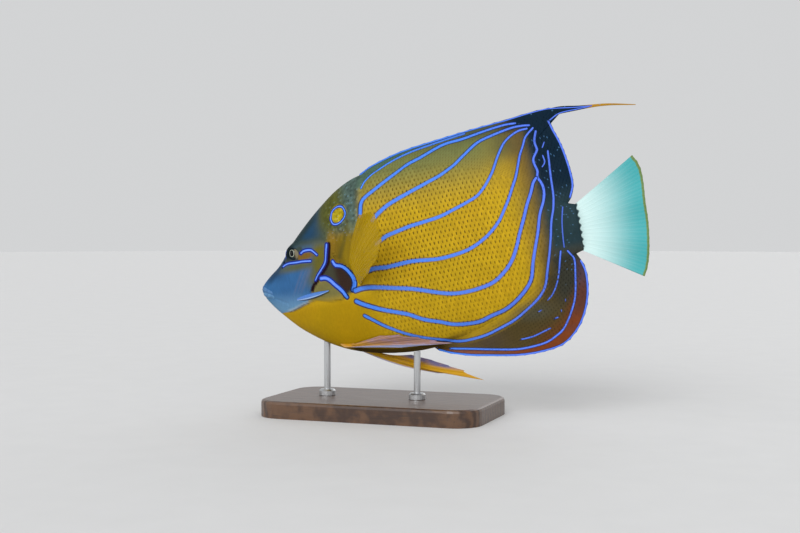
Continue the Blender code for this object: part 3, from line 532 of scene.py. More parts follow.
def wrap_eye(places):
    """Draws the skin up to the eye, with a low rim, and tucks it in behind the eyeball."""
    r = np.hypot(places[..., 0] - EYE[0], places[..., 2] - EYE[2])
    ball = EYE[1] + math.sqrt(EYE_RADIUS**2 - EYE_OPENING**2)
    y = -places[..., 1]
    y = y + (ball + LID_RISE - y) * ease(*LID_REACH, r)
    fold = (r - EYE_OPENING - LID_FOLD["away"]) / LID_FOLD["wide"]
    y = y + LID_FOLD["high"] * np.exp(-fold**2)
    y = y - EYE_TUCK * ease(EYE_OPENING, EYE_OPENING - TUCK_REACH, r)
    out = places.copy()
    out[..., 1] = -y
    return out


def body(x, turn, lift=0.0):
    """The finished left side of the skin, raised by lift."""
    x, turn = np.broadcast_arrays(np.asarray(x, float), np.asarray(turn, float))
    places = bare_side(x, turn)
    out = facing(bare_side, x, turn, *SKIN_STEPS)
    rise = relief(places[..., 0], places[..., 2]) + lift
    return wrap_eye(places + out * rise[..., None])


# Meshes

POSE = Matrix.Translation(SNOUT) @ Matrix.Rotation(-NOSE_DOWN, 4, "Y")


def coordinates(mesh):
    """Places of a mesh's vertices, a row each."""
    flat = np.empty(len(mesh.vertices) * 3, np.float32)
    mesh.vertices.foreach_get("co", flat)
    return flat.reshape(-1, 3).astype(float)


def attribute(mesh, name, values):
    """Keeps three numbers a vertex under a name that the materials read."""
    layer = mesh.attributes.new(name, "FLOAT_VECTOR", "POINT")
    layer.data.foreach_set("vector", np.ascontiguousarray(values, np.float32).ravel())


def grid(columns, rows, places):
    """A sheet of columns by rows whose points are moved onto places[row, column]."""
    bm = bmesh.new()
    bmesh.ops.create_grid(bm, x_segments=columns - 1, y_segments=rows - 1, size=1)
    for vert, place in zip(bm.verts, places.reshape(-1, 3).tolist()):
        vert.co = place
    return bm


def close_up(bm):
    """Merges the points that meet, closes what is still open and turns the faces outwards."""
    bmesh.ops.remove_doubles(bm, verts=bm.verts, dist=1e-7)
    bmesh.ops.dissolve_degenerate(bm, edges=bm.edges, dist=1e-8)
    open_edges = [edge for edge in bm.edges if edge.is_boundary]
    if open_edges:
        bmesh.ops.holes_fill(bm, edges=open_edges, sides=0)
    bmesh.ops.recalc_face_normals(bm, faces=bm.faces)
    return bm


def fish_piece(name, source, material, replaced=(), extra=None):
    """A finished piece of the fish from a bmesh or a mesh in the fish's own axes."""
    if isinstance(source, bpy.types.Mesh):
        mesh = source
    else:
        mesh = bpy.data.meshes.new(name)
        source.to_mesh(mesh)
        source.free()
        mesh.polygons.foreach_set("use_smooth", np.ones(len(mesh.polygons), bool))
    places = coordinates(mesh)
    if extra:
        extra(mesh, places)
    mesh.transform(POSE)
    mesh.materials.append(material)
    mesh.update()
    item = bpy.data.objects.new(name, mesh)
    bpy.context.scene.collection.objects.link(item)
    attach(item, "root")
    if replaced:
        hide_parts(*replaced)


def tube(centres, wide, high, upward, around=28):
    """A closed tube of changing section: wide and high are its half-sizes, upward leans it."""
    centres = np.array(centres, float)
    run = np.gradient(centres, axis=0)
    run /= np.linalg.norm(run, axis=1, keepdims=True)
    up = np.broadcast_to(np.array(upward, float), centres.shape)
    up = up - (up * run).sum(1, keepdims=True) * run
    up /= np.linalg.norm(up, axis=1, keepdims=True)
    across = np.cross(run, up)
    turns = np.linspace(0, 2 * math.pi, around + 1)
    wide, high = np.array(wide, float).copy(), np.array(high, float).copy()
    for ends in (wide, high):
        ends[[0, -1]] = 0
    places = (centres[None] + np.cos(turns)[:, None, None] * across * wide[:, None]
              + np.sin(turns)[:, None, None] * up * high[:, None])
    places[-1] = places[0]
    return close_up(grid(len(centres), around + 1, places))


# Colour pattern, worked out at each point of a mesh: x and z are millimetres from the snout

def outline(line, x):
    """Height of the back or the belly."""
    return through(line, x / 1000) * 1000


def line_height(name, x, part=slice(None)):
    """Height of a line of the pattern, or of a part of it."""
    return np.interp(x, *zip(*sorted(LINES[name][3][part])))


def spot(x, z, cx, cz, rx, rz, soft=0.5):
    """1 inside an oval patch in millimetres and 0 outside it."""
    return ease(1 + soft, 1 - soft, np.hypot((x - cx) / rx, (z - cz) / rz))


class Ground:
    """The colour at each point of a mesh, built up from patches."""

    def __init__(self, x, z):
        self.colours = colours()
        self.colours.update((name, np.array(rgb)) for name, rgb in SHADES.items())
        self.x, self.z = x, z
        self.out = np.tile(self.colours["gold"], (len(x), 1))

    def over(self, top, mask):
        top = self.colours[top] if isinstance(top, str) else top
        self.out = self.out + (top - self.out) * mask[:, None]


def paint_flank(ground):
    """Flank, back and belly, and the dorsal fin that carries their pattern on, with a painted
    shadow on the belly under the near pelvic fin.
    """
    c, x, z, over = ground.colours, ground.x, ground.z, ground.over
    over("chest", ease(122, 98, x) * ease(-14, -26, z))
    above_belly = z - outline(BELLY_LINE, x)
    # Painted shadow on the belly just under the near pelvic fin
    over("pelvic_fin_shadow", ease(6.5, 3.5, above_belly) * ease(66, 80, x) * ease(185, 150, x) * .9)
    over("olive", ease(34, 84, z) * ease(250, 205, x))
    over(c["olive"] * .62, ease(80, 90, z) * ease(245, 215, x) * .6)
    above_first = z - line_height("first", x)
    over("back_teal", ease(-1, 1.5, above_first) * ease(195, 140, x) * .8)
    over("rear_crest", ease(58, 76, z) * ease(206, 232, x) * .9)
    over("crest", ease(85, 92, z) * ease(185, 212, x) * .8)
    up = np.maximum(z, 0)
    over("dusk", ease(230, 256, x + .10 * up) * ease(-60, -40, z) * .9)
    below_eighth = line_height("eighth", x, EIGHTH_LOW) - z
    over(c["dusk"] * (1.1, 1.15, .9), ease(-13, 0, below_eighth) * ease(150, 215, x) * .75)
    over(c["dusk"] * (.55, .60, .58), ease(0, 4, below_eighth) * ease(150, 195, x))
    over("anal_root", ease(244, 260, x) * ease(-4, -22, z) * ease(-70, -45, z))
    over("stalk", ease(249, 262, x + .06 * up) * ease(-26, -8, z))
    over("night", ease(253, 263, x + .06 * up) * ease(18, 44, z))
    over("night", ease(84, 90, z) * ease(224, 246, x))
    over("filament_tip", ease(300, 308, x))


def paint_anal_fin(ground):
    """The rusty bands inside and outside the ninth line."""
    c, x, z, over = ground.colours, ground.x, ground.z, ground.over
    below_ninth = line_height("ninth", x, NINTH_LOW) - z
    inside_ninth = ease(-16, -1, below_ninth) * ease(-36, -62, z) * ease(222, 240, x)
    over(c["rust"] * (.75, .9, .8), inside_ninth * .7)
    over("rust", ease(-.5, 1.5, below_ninth) * ease(-40, -48, z))
    rear_x, rear_z = zip(*LINES["ninth"][3][NINTH_REAR])
    outside = x - np.interp(z, rear_z[::-1], rear_x[::-1])
    outside = ease(-.5, 1.5, outside) * ease(-80, -70, z)
    over("anal_plum", outside * ease(-22, -26, z))
    over("anal_brown", outside * ease(-34, -50, z))
    over("rust", outside * ease(-58, -74, z))
    over("anal_grey", spot(x, z, 232, -58, 16, 7, .6) * .5)
    below_eighth = line_height("eighth", x, EIGHTH_LOW) - z
    over("anal_front", ease(0, 3, below_eighth) * ease(215, 185, x) * ease(150, 165, x) * .7)
    over("anal_orange", ease(0, 3, below_ninth) * ease(225, 180, x) * .9)


def paint_nape(ground):
    """The nape, the crown and the gill cover behind the cheek, with a painted shadow along the
    gill cover's crease.
    """
    c, x, z, over = ground.colours, ground.x, ground.z, ground.over
    over("nape", ease(22, 36, z) * ease(113, 103, x))
    over("behind_brow", ease(79, 73, x) * ease(8, 14, z))
    over("low_nape", ease(20, 30, z) * ease(46, 34, z) * ease(113, 106, x)
         * ease(90, 97, x) * .7)
    over("nape_olive", spot(x, z, 76, 56, 15, 24, .55))
    over("crown", ease(24, 38, z) * ease(84, 58, x))
    over("crown_olive", spot(x, z, 78, 58, 12, 18, .5) * ease(64, 73, x) * .8)
    over(c["crown"] * (1.1, .70, .40), ease(34, 46, z + .2 * x) * ease(60, 44, x) * .8)
    over("brow_teal", spot(x, z, 44, 30, 12, 5, .5) * .8)
    over("temple", spot(x, z, 60, 27.5, 12, 4, .9) * .8)
    over(c["gold"] * (.72, .88, .9), spot(x, z, 89, 49, 7.4, 7.6, .25))
    over("bronze", ease(42, 24, z) * ease(-8, -2, z) * ease(75, 79, x) * ease(108, 90, x))
    over(c["bronze"] * (1.4, 1.42, .8), ease(34, 26, z) * ease(0, 6, z) * ease(87, 92, x)
         * ease(116, 102, x))
    # Painted shadow along the crease of the gill cover's upper edge
    over("gill_crease_shadow", ease(3.2, .5, off_line(GILL_CREASE_SHADOW, 30, x, z, 12)) * .6)
    for places in LINE_SHADOWS:
        over("line_shadow", ease(2.4, .5, off_line(places, 8, x, z, 12)) * .6)
    over("gill_orange", spot(x, z, 81, 27, 4, 9, .6) * ease(76, 79, x) * .4)


def paint_face(ground):
    """The snout, the cheek, the surroundings of the eye and the cover's low edge, with a painted
    highlight and a painted shadow along that edge and a painted shadow behind the cheek's edge.
    """
    c, x, z, over = ground.colours, ground.x, ground.z, ground.over
    below_back = outline(BACK_LINE, x) - z
    inside = beside(np.array(GILL_LINE) * 1000, 90, x, z, 60, 80)
    before = -beside(np.array(CHEEK_EDGE) * 1000, 60, x, z, 80, 80)
    cover = ease(-.5, .5, inside) * ease(100, 90, x) * ease(30, 24, z)
    over("low_cover", cover * ease(0, -1, before) * ease(4, -6, z) * ease(-26, -14, z))
    face = ease(-.4, .5, inside) * ease(33, 22, z) * ease(78, 70, x) * ease(-.6, .6, before)
    over("face", face)
    over(c["face"] * (.42, .44, .46), face * ease(0, 13, z) * ease(38, 20, x) * .95)
    over("cheek_olive", face * ease(44, 60, x - .5 * z) * ease(-12, 4, z + .2 * (x - 50)))
    over("cheek_bronze", face * ease(58, 66, x) * ease(4, 10, z))
    over("cheek_band", face * spot(x, z, 44, 13.0, 22, 3.4, .8) * .9)
    for first, wide in ((57.5, 2.2), (53.5, 1.4), (49.5, 1.8)):
        streak = np.abs(x - first - .74 * (z - 10)) / wide
        over("cheek_streak", face * ease(1.2, .1, streak) * ease(-14, -4, z)
             * ease(13, 6, z) * .5)
    over(c["chin"] * (.95, 1.0, 1.0),
         face * ease(-2, -19, z + .12 * (x - 20)) * ease(56, 42, x) * .85)
    over("pale_mouth", ease(12, 3, x) * ease(2, -6, z) * .8)
    over("under_eye", spot(x, z, 40, 20, 12, 3.6, .5) * .9)
    over("snout_ridge", ease(11, 5, below_back) * ease(5, 14, x) * ease(38, 28, x) * .8)
    over("forehead_ridge", ease(15, 7, below_back) * ease(28, 38, x) * ease(70, 60, x) * .9)
    over("eye_olive", spot(x, z, 47.5, 26.5, 4, 3, .5) * .9)
    over("eye_orange", spot(x, z, 52.5, 20.4, 9.5, 3.2, .35) * ease(44, 46.5, x))
    over("eye_socket", spot(x, z, 37.5, 26.5, 6.2, 5.8, .35) * ease(30, 34, x))
    # Painted highlight on the low edge of the gill cover, and painted shadow just outside that
    # edge
    rim = ease(22, 28, x) * ease(54, 46, x)
    over("cover_rim_highlight", np.exp(-((inside - .9) / .8)**2) * rim * .8)
    over("rim_shadow", np.exp(-((inside + .5) / .5)**2) * rim * .75)
    behind_arc = -beside(LINES["gill_arc"][3], 60, x, z, 30, 40)
    over_low = beside(LINES["gill_low"][3], 60, x, z, 30, 40)
    patch = (ease(-.3, .5, behind_arc) * ease(-.3, .5, over_low) * ease(.4, -.4, before)
             * spot(x, z, 79, -3, 19, 15, .1))
    over("cheek_patch", patch)
    over("maroon", patch * ease(76, 84, x))
    dx, dz, _, part = to_line(path(EDGE_SHADOW, 60), x, z, 6)
    over("edge_shadow", ease(1.9, 1.2, np.hypot(dx, dz)) * ease(1, .93, part))
    # Painted shade in the pit of each nostril
    for nx, nz, radius in NOSTRILS:
        over("nostril", ease(1.5, .5, np.hypot(x / 1000 - nx, z / 1000 - nz) / radius))


def ground_colour(x, z):
    """Colour under the lines and marks of the body, dorsal fin and anal fin."""
    ground = Ground(x, z)
    for paint in (paint_flank, paint_anal_fin, paint_nape, paint_face):
        paint(ground)
    return ground.out


def line_fields(x, z):
    """For each group, the offset to the nearest line in half-widths, with its strength."""
    fields = {}
    for group in LINE_GROUPS:
        best = np.full(len(x), 1e6)
        out = np.zeros((len(x), 3))
        out[:, [0, 2]] = FAR_OFF
        for kind, widths, strengths, places in LINES.values():
            if kind != group:
                continue
            long = np.linalg.norm(np.diff(np.array(places), axis=0), axis=1).sum()
            dx, dz, _, part = to_line(path(places, max(12, int(long / 2))), x, z, 7)
            wide = widths[0] + (widths[1] - widths[0]) * part
            away = np.hypot(dx, dz) / wide
            won = away < best
            best = np.where(won, away, best)
            strength = strengths[0] + (strengths[1] - strengths[0]) * part
            rim = wide * (RIM[1] + RIM_MORE * np.maximum(strength - 1, 0))
            strength = strength * (np.hypot(dx, dz) < rim + 0.5)
            new = np.stack([dx / wide, strength, dz / wide], 1)
            out = np.where(won[:, None], new, out)
        fields[group] = np.clip(out, -FAR_OFF, FAR_OFF)
    return fields


def mark(mesh, places):
    """Gives a mesh the ground colour, the lines and how strongly marks and specks show."""
    x, z = places[:, 0] * 1000, places[:, 2] * 1000
    attribute(mesh, "ground", ground_colour(x, z))
    fields = line_fields(x, z)
    for group in LINE_GROUPS:
        attribute(mesh, "lines_" + group, fields[group])
    dark = np.maximum(ease(250, 264, x + .09 * np.maximum(z, 0)) * ease(-60, -30, z),
                      ease(84, 92, z) * ease(222, 246, x))
    below_back, above_belly = outline(BACK_LINE, x) - z, z - outline(BELLY_LINE, x)
    within = np.minimum(below_back, above_belly + 30 * ease(150, 120, x))
    dashes = .18 + .30 * ease(-24, 0, within) + .44 * ease(0, 18, within)
    dashes = dashes * ease(107, 118, x) * (1 - .9 * dark)
    dashes = dashes * (1 - .12 * ease(150, 110, x)) * (1 - .35 * ease(200, 245, x))
    dashes = dashes * (.72 + .28 * ease(-50, 0, z))
    specks = ease(.3, 1, dark) + ease(22, 36, z) * ease(116, 106, x) * ease(66, 88, x) * .8
    attribute(mesh, "marks", np.stack([dashes, specks, ease(0.2, 1, dark)], 1))


# Materials

class Wire:
    """A value in a material: its operators add Math nodes."""

    def __init__(self, finish, socket):
        self.finish, self.socket = finish, socket

    def maths(self, operation, a, b):
        return self.finish.node("ShaderNodeMath", {"operation": operation}, {0: a, 1: b})

    def __add__(self, other):
        return self.maths("ADD", self, other)

    def __radd__(self, other):
        return self.maths("ADD", other, self)

    def __sub__(self, other):
        return self.maths("SUBTRACT", self, other)

    def __rsub__(self, other):
        return self.maths("SUBTRACT", other, self)

    def __mul__(self, other):
        return self.maths("MULTIPLY", self, other)

    def __rmul__(self, other):
        return self.maths("MULTIPLY", other, self)

    def __truediv__(self, other):
        return self.maths("DIVIDE", self, other)

    def __pow__(self, other):
        return self.maths("POWER", self, other)


class Finish:
    """A material under construction, with one method that adds any node."""

    def __init__(self, name, **constants):
        self.material = bpy.data.materials.new(name)
        self.material.use_nodes = True
        self.tree = self.material.node_tree
        self.shader = self.tree.nodes["Principled BSDF"]
        for socket, value in constants.items():
            self.shader.inputs[socket.replace("_", " ")].default_value = value
        self.place = self.node("ShaderNodeTexCoord", out="Object")

    def node(self, kind, settings=None, sockets=None, out=0):
        node = self.tree.nodes.new(kind)
        for key, value in (settings or {}).items():
            setattr(node, key, value)
        for key, value in (sockets or {}).items():
            if isinstance(value, Wire):
                self.tree.links.new(value.socket, node.inputs[key])
            elif value is not None:
                node.inputs[key].default_value = value
        return Wire(self, node.outputs[out])

    def feed(self, socket, value):
        self.tree.links.new(value.socket, self.shader.inputs[socket])

    def mix(self, factor, a, b, how="MIX"):
        """Mixes two colours. The node has them in its sockets 6 and 7, and the outcome in 2."""
        a, b = (tuple(v) + (1.0,) if isinstance(v, (tuple, list, np.ndarray)) else v
                for v in (a, b))
        return self.node("ShaderNodeMix", {"data_type": "RGBA", "blend_type": how},
                         {0: factor, 6: a, 7: b}, out=2)

    def ramp(self, value, low, high):
        """A smooth step from 0 to 1, as value goes from low to high."""
        return self.node("ShaderNodeMapRange", {"interpolation_type": "SMOOTHSTEP"},
                         {0: value, 1: low, 2: high})

    def fall(self, value, low, high):
        """The opposite of a ramp: 1 up to low and 0 from high."""
        return 1.0 - self.ramp(value, low, high)

    def noise(self, scale, detail, stretch=None, out=0):
        where = self.place
        if stretch:
            where = self.node("ShaderNodeMapping", {"vector_type": "POINT"},
                              {"Vector": where, "Scale": stretch})
        return self.node("ShaderNodeTexNoise", {"noise_dimensions": "3D"},
                         {"Vector": where, "Scale": scale, "Detail": detail,
                          "Roughness": 0.55}, out=out)

    def cells(self, scale):
        return self.node("ShaderNodeTexVoronoi", {"feature": "F1"},
                         {"Vector": self.place, "Scale": scale})

    def waves(self, value):
        return self.node("ShaderNodeMath", {"operation": "SINE"}, {0: value})

    def above(self, value, least):
        return self.node("ShaderNodeMath", {"operation": "MAXIMUM"}, {0: value, 1: least})

    def grey(self, value):
        return self.node("ShaderNodeCombineColor", None, {0: value, 1: value, 2: value})

    def kept(self, name):
        """The three numbers that a mesh keeps under a name."""
        vector = self.node("ShaderNodeAttribute", {"attribute_name": name}, out=1)
        return [self.node("ShaderNodeSeparateXYZ", None, {0: vector}, out=k) for k in range(3)]

    def kept_colour(self, name):
        return self.node("ShaderNodeAttribute", {"attribute_name": name}, out=1)

    def bump(self, height, distance, strength):
        return self.node("ShaderNodeBump", None, {"Height": height, "Distance": distance,
                                                  "Strength": strength})


def paint_lines(finish, base, beads=1.0):
    """Lays the blue lines with their dark rims over a colour. beads breaks the rims."""
    c = colours()
    grain = finish.noise(300, 2)
    x = finish.node("ShaderNodeSeparateXYZ", None, {0: finish.place})
    head = finish.fall(x, -.034, -.020)
    rear = finish.ramp(x, .04, .14)
    edge = finish.mix(head, c["stripe_edge"], (.012, .018, .200))
    for group in LINE_GROUPS:
        dx, strength, dz = finish.kept("lines_" + group)
        extra = finish.above(strength - 1.0, 0.0)
        strength = strength - extra
        away = (dx * dx + dz * dz) ** 0.5
        away = away + (grain - 0.5) * 0.22
        rim = finish.fall(away - extra * RIM_MORE, *RIM) * strength * beads
        core = finish.fall(away, 0.76, 0.96) * strength
        light = finish.fall(away, 0.0, 0.75)
        blue = finish.mix(light * 0.45, c["stripe"], np.minimum(c["stripe"] * (1.7, 1.4, 1.12), 1))
        blue = finish.mix(rear * 0.5, blue, (.13, .16, .80))
        blue = finish.mix(light * head * 0.6, blue, (.26, .32, .90))
        base = finish.mix(rim, base, edge)
        base = finish.mix(core, base, blue)
    return base


def scale_look(finish, base, marks, fine, plates):
    """Tints each scale and gives it its dark mark and the rare speck.

    The second value breaks the rims of the lines between the marks, and the third is the place
    along a scale."""
    dashes, specks, dark = marks
    along, across, chance = finish.kept("scale_place")
    edge = finish.ramp(along + across * across * 0.22, 0.84, 1.02)
    tint = 1.0 + ((chance - 0.5) * 0.16 - edge * 0.10) * plates
    tint = tint + (chance - 0.5) * specks * (1.0 - dark) * 0.9
    base = finish.mix(1.0, base, finish.grey(tint), "MULTIPLY")
    slim = (along - 0.64 + across * 0.08) / 0.20
    tall = (across - (chance - 0.5) * 0.12) / 0.45
    away = (slim * slim + tall * tall) ** 0.5 + (fine - 0.5) * 0.40
    on_mark = finish.fall(away, 0.70, 1.15)
    base = finish.mix(on_mark * dashes * (0.80 + chance * 0.20), base, colours()["dash"])
    dot = finish.fall((along * along + tall * tall) ** 0.5, 0.25, 0.55)
    base = finish.mix(dot * specks * finish.ramp(chance, 0.80, 0.90) * 0.40, base, SPECK)
    return base, 1.0 - dashes * (1.0 - on_mark) * 0.62, along


def bare_look(finish, base, marks, rays):
    """Gives bare skin its rare specks, and a fin with rays the flecks of its marks."""
    dashes, specks, _ = marks
    flecks = finish.fall(finish.cells(330), 0.16, 0.30)
    rare = finish.ramp(finish.noise(120, 1), 0.50, 0.62)
    base = finish.mix(flecks * rare * specks * 0.4, base, SPECK)
    if rays:
        flecks = finish.fall(finish.cells(380), 0.20, 0.42)
        base = finish.mix(flecks * dashes * 0.35, base, colours()["dash"])
    return base, 1.0 - dashes * 0.30


def coat_finish(name, plates, rays=False):
    """Skin, scales and scaled fins share this pattern; plates is how strongly a scale shows."""
    finish = Finish(name, IOR=1.40, Specular_IOR_Level=0.09)
    clouds = finish.noise(55, 4)
    fine = finish.noise(420, 2)
    hue = finish.noise(26, 2)
    streaks = finish.noise(700, 2, stretch=(1, 1, .22))
    shade = 0.72 + clouds * 0.20 + (fine - 0.5) * 0.08 + (streaks - 0.5) * 0.23
    shades = finish.node("ShaderNodeCombineColor", None, {
        0: shade * (0.97 + hue * 0.06), 1: shade * (1.04 - hue * 0.08), 2: shade})
    base = finish.mix(1.0, finish.kept_colour("ground"), shades, "MULTIPLY")
    marks = finish.kept("marks")
    height = fine * 0.6 + finish.noise(1400, 2) * 0.4
    if plates:
        base, beads, along = scale_look(finish, base, marks, fine, plates)
        height = height + finish.waves(along * 26) * (0.12 * plates)
    else:
        base, beads = bare_look(finish, base, marks, rays)
    finish.feed("Base Color", paint_lines(finish, base, beads))
    finish.feed("Roughness", 0.42 + clouds * 0.16 + fine * 0.06)
    finish.feed("Normal", finish.bump(height, 0.00010, 0.5))
    return finish.material


def web_finish(name, shine=0.2, streaks=300, stretch=(.35, 1, 1)):
    """A fin's web, and what its mesh keeps: reach along a ray, nearness to it and its rank."""
    finish = Finish(name, IOR=1.42, Specular_IOR_Level=shine)
    return (finish, *finish.kept("fin_place"), finish.noise(streaks, 3, stretch))


def feed_web(finish, tone, ray, streak, rough):
    """Gives a web its colour, its roughness and the fine relief of its rays."""
    finish.feed("Base Color", tone)
    finish.feed("Roughness", rough + streak * 0.2)
    finish.feed("Normal", finish.bump(ray + streak * 0.3, .0002, 0.6))


# Scales: joined plates over the skin

def plate_template(cells_along, cells_across):
    """One scale as a closed shell of triangles: its places from -1 to 1, and its faces."""
    bm = bmesh.new()
    bmesh.ops.create_grid(bm, x_segments=cells_along, y_segments=cells_across, size=1)
    top = len(bm.faces)
    bmesh.ops.holes_fill(bm, edges=[e for e in bm.edges if e.is_boundary], sides=0)
    bm.faces.ensure_lookup_table()
    under = bm.faces[top:]
    if under and under[0].normal.z > 0:
        bmesh.ops.reverse_faces(bm, faces=under)
    split = bmesh.ops.triangulate(bm, faces=under)["faces"]
    flat = set(split)
    bmesh.ops.triangulate(bm, faces=[f for f in bm.faces if len(f.verts) > 3])
    places = np.array([v.co[:2] for v in bm.verts])
    faces = np.array([[v.index for v in f.verts] for f in bm.faces])
    smooth = np.array([f not in flat for f in bm.faces])
    bm.free()
    return places, faces, smooth


def plate_roots(sheet, columns, rows, low_end, limit):
    """Places of scales in staggered rows: each column holds every second row."""
    roots = []
    turns = np.linspace(low_end, 1, 500)
    start = np.searchsorted(turns, 0)
    rows = 2 * np.broadcast_to(rows, len(columns))
    for k, (u, row) in enumerate(zip(columns, rows)):
        line = sheet(np.full(turns.shape, u), turns)
        reach = np.concatenate([[0], np.cumsum(np.linalg.norm(np.diff(line, axis=0), axis=1))])
        reach -= reach[start]
        low, high = reach[0] + row * limit[0], reach[-1] * limit[2] - row * limit[1]
        offset = 0.5 * (k % 2)
        steps = np.arange(math.ceil(low / row - offset), math.floor(high / row - offset) + 1)
        at = (steps + offset) * row
        roots += [(u, w) for w in np.interp(at, reach, turns)]
    return np.array(roots)


def sharp_rims(mesh, smooth):
    """Keeps the flat underside of each scale out of the shading of its top."""
    edges = np.empty(len(mesh.loops), np.int32)
    mesh.loops.foreach_get("edge_index", edges)
    smooth = np.repeat(smooth, 3)
    rims = np.zeros((2, len(mesh.edges)), bool)
    rims[0, edges[smooth]] = True
    rims[1, edges[~smooth]] = True
    mesh.edges.foreach_set("use_edge_sharp", rims.all(0))


def bake_map(side, u_span, w_low, base):
    """The map for baking: each side of the fish has half of it."""

    def unwrap(u, w):
        return np.stack([BAKE_HOME[side] + u / u_span * BAKE_SIZE[0],
                         base + (w - w_low) / (1 - w_low) * BAKE_SIZE[1]], 1)

    return unwrap


def lay_plates(name, sheet, roots, size, steps, rise, sign, material, cells, unwrap, seed):
    """Scales on a sheet, rooted at the front, each following the form under it.

    sign is -1 on the left and 1 on the right."""
    corner, faces, smooth = plate_template(*cells)
    pick = np.random.default_rng(seed)
    chance = pick.random(len(roots))
    u, w = roots[:, 0], roots[:, 1]
    long_u = np.linalg.norm(sheet(u + steps[0], w) - sheet(u - steps[0], w), axis=1)
    long_w = np.linalg.norm(sheet(u, w + steps[1]) - sheet(u, w - steps[1]), axis=1)
    scale_u = size[0] / np.maximum(long_u / (2 * steps[0]), 1e-9)
    scale_w = size[1] / np.maximum(long_w / (2 * steps[1]), 1e-9)
    # A scale narrows towards its rounded rear edge, and no two have quite the same size
    a, b = corner[:, 0], corner[:, 1]
    along = a * (1 - .22 * b**2 * (a + 1) / 2)
    across = b * np.sqrt(1 - .42 * np.clip(a, 0, 1)**2) * (1 - .10 * np.clip(-a, 0, 1))
    grow = .94 + .12 * chance[:, None]
    uu = u[:, None] + along * scale_u[:, None] * grow
    ww = w[:, None] + across * scale_w[:, None] * grow
    places = sheet(uu, ww)
    out = facing(sheet, uu, ww, *steps)
    lift = rise * ((a + 1) / 2 * (.88 + .24 * chance[:, None]) + .22 * (1 - b**2) - .22)
    edge = np.maximum(np.abs(a), np.abs(b)) > .999
    lift = lift - rise * .18 * edge
    places = places + out * lift[..., None]
    places[..., 1] *= -sign
    if sign > 0:
        faces = faces[:, ::-1]
    count, corners = places.shape[:2]
    every = (faces[None] + (np.arange(count) * corners)[:, None, None]).reshape(-1, 3)
    mesh = bpy.data.meshes.new(name)
    mesh.from_pydata(places.reshape(-1, 3), [], every)
    mesh.polygons.foreach_set("use_smooth", np.tile(smooth, count))
    sharp_rims(mesh, np.tile(smooth, count))
    local = np.stack(np.broadcast_arrays(along, across, chance[:, None]), -1)
    middle = unwrap(u, w)
    patch = middle[:, None, :] + np.stack([a, b], 1) * BAKE_HALF
    layer = mesh.uv_layers.new(name="OFBake")
    corner_of = np.empty(len(mesh.loops), np.int32)
    mesh.loops.foreach_get("vertex_index", corner_of)
    layer.data.foreach_set("uv", patch.reshape(-1, 2)[corner_of].astype(np.float32).ravel())

    def more(mesh, places):
        mark(mesh, places)
        attribute(mesh, "scale_place", local.reshape(-1, 3))

    fish_piece(name, mesh, material, extra=more)


def bare_of_scales(places):
    """True where the face has no scales: eyes, nostrils, lips and the edges of the covers."""
    x, z = places[:, 0], places[:, 2]
    off = np.hypot(x - EYE[0], z - EYE[2]) < EYE_BARE
    for nx, nz, radius in NOSTRILS:
        off |= np.hypot(x - nx, z - nz) < radius * 2.6
    off |= x < SNOUT_BARE + .25 * np.clip(-z - .010, 0, .02)
    for line, wide in ((GILL_LINE, .0014), (CHEEK_EDGE, .0013), (CHEEK_SPINE, .0026),
                       (np.array(EDGE_SHADOW) / 1000, .0022)):
        dx, dz, _, _ = to_line(path(line, 70), x, z, .01)
        near = np.hypot(dx, dz) < wide
        if line is GILL_LINE:
            near &= z < GILL_TOP
        off |= near
    return off


# Fins

def ray_profile(p, v, spines):
    """Height of the bony rays across a fin: a spine stays single and a ray forks twice."""
    off = p - np.round(p)
    spiny = np.round(p) < spines
    first = .20 * ease(.35, .9, v)
    second = .10 * ease(.65, 1.0, v)
    wide = .13 - .055 * v
    soft = np.zeros(np.broadcast(p, v).shape)
    for a in (-1, 1):
        for b in (-1, 1):
            soft = np.maximum(soft, np.exp(-((off - a * first - b * second) / wide)**2))
    stiff = np.exp(-(off / (.24 - .10 * v))**2) * 1.5
    return np.where(spiny, stiff, soft)


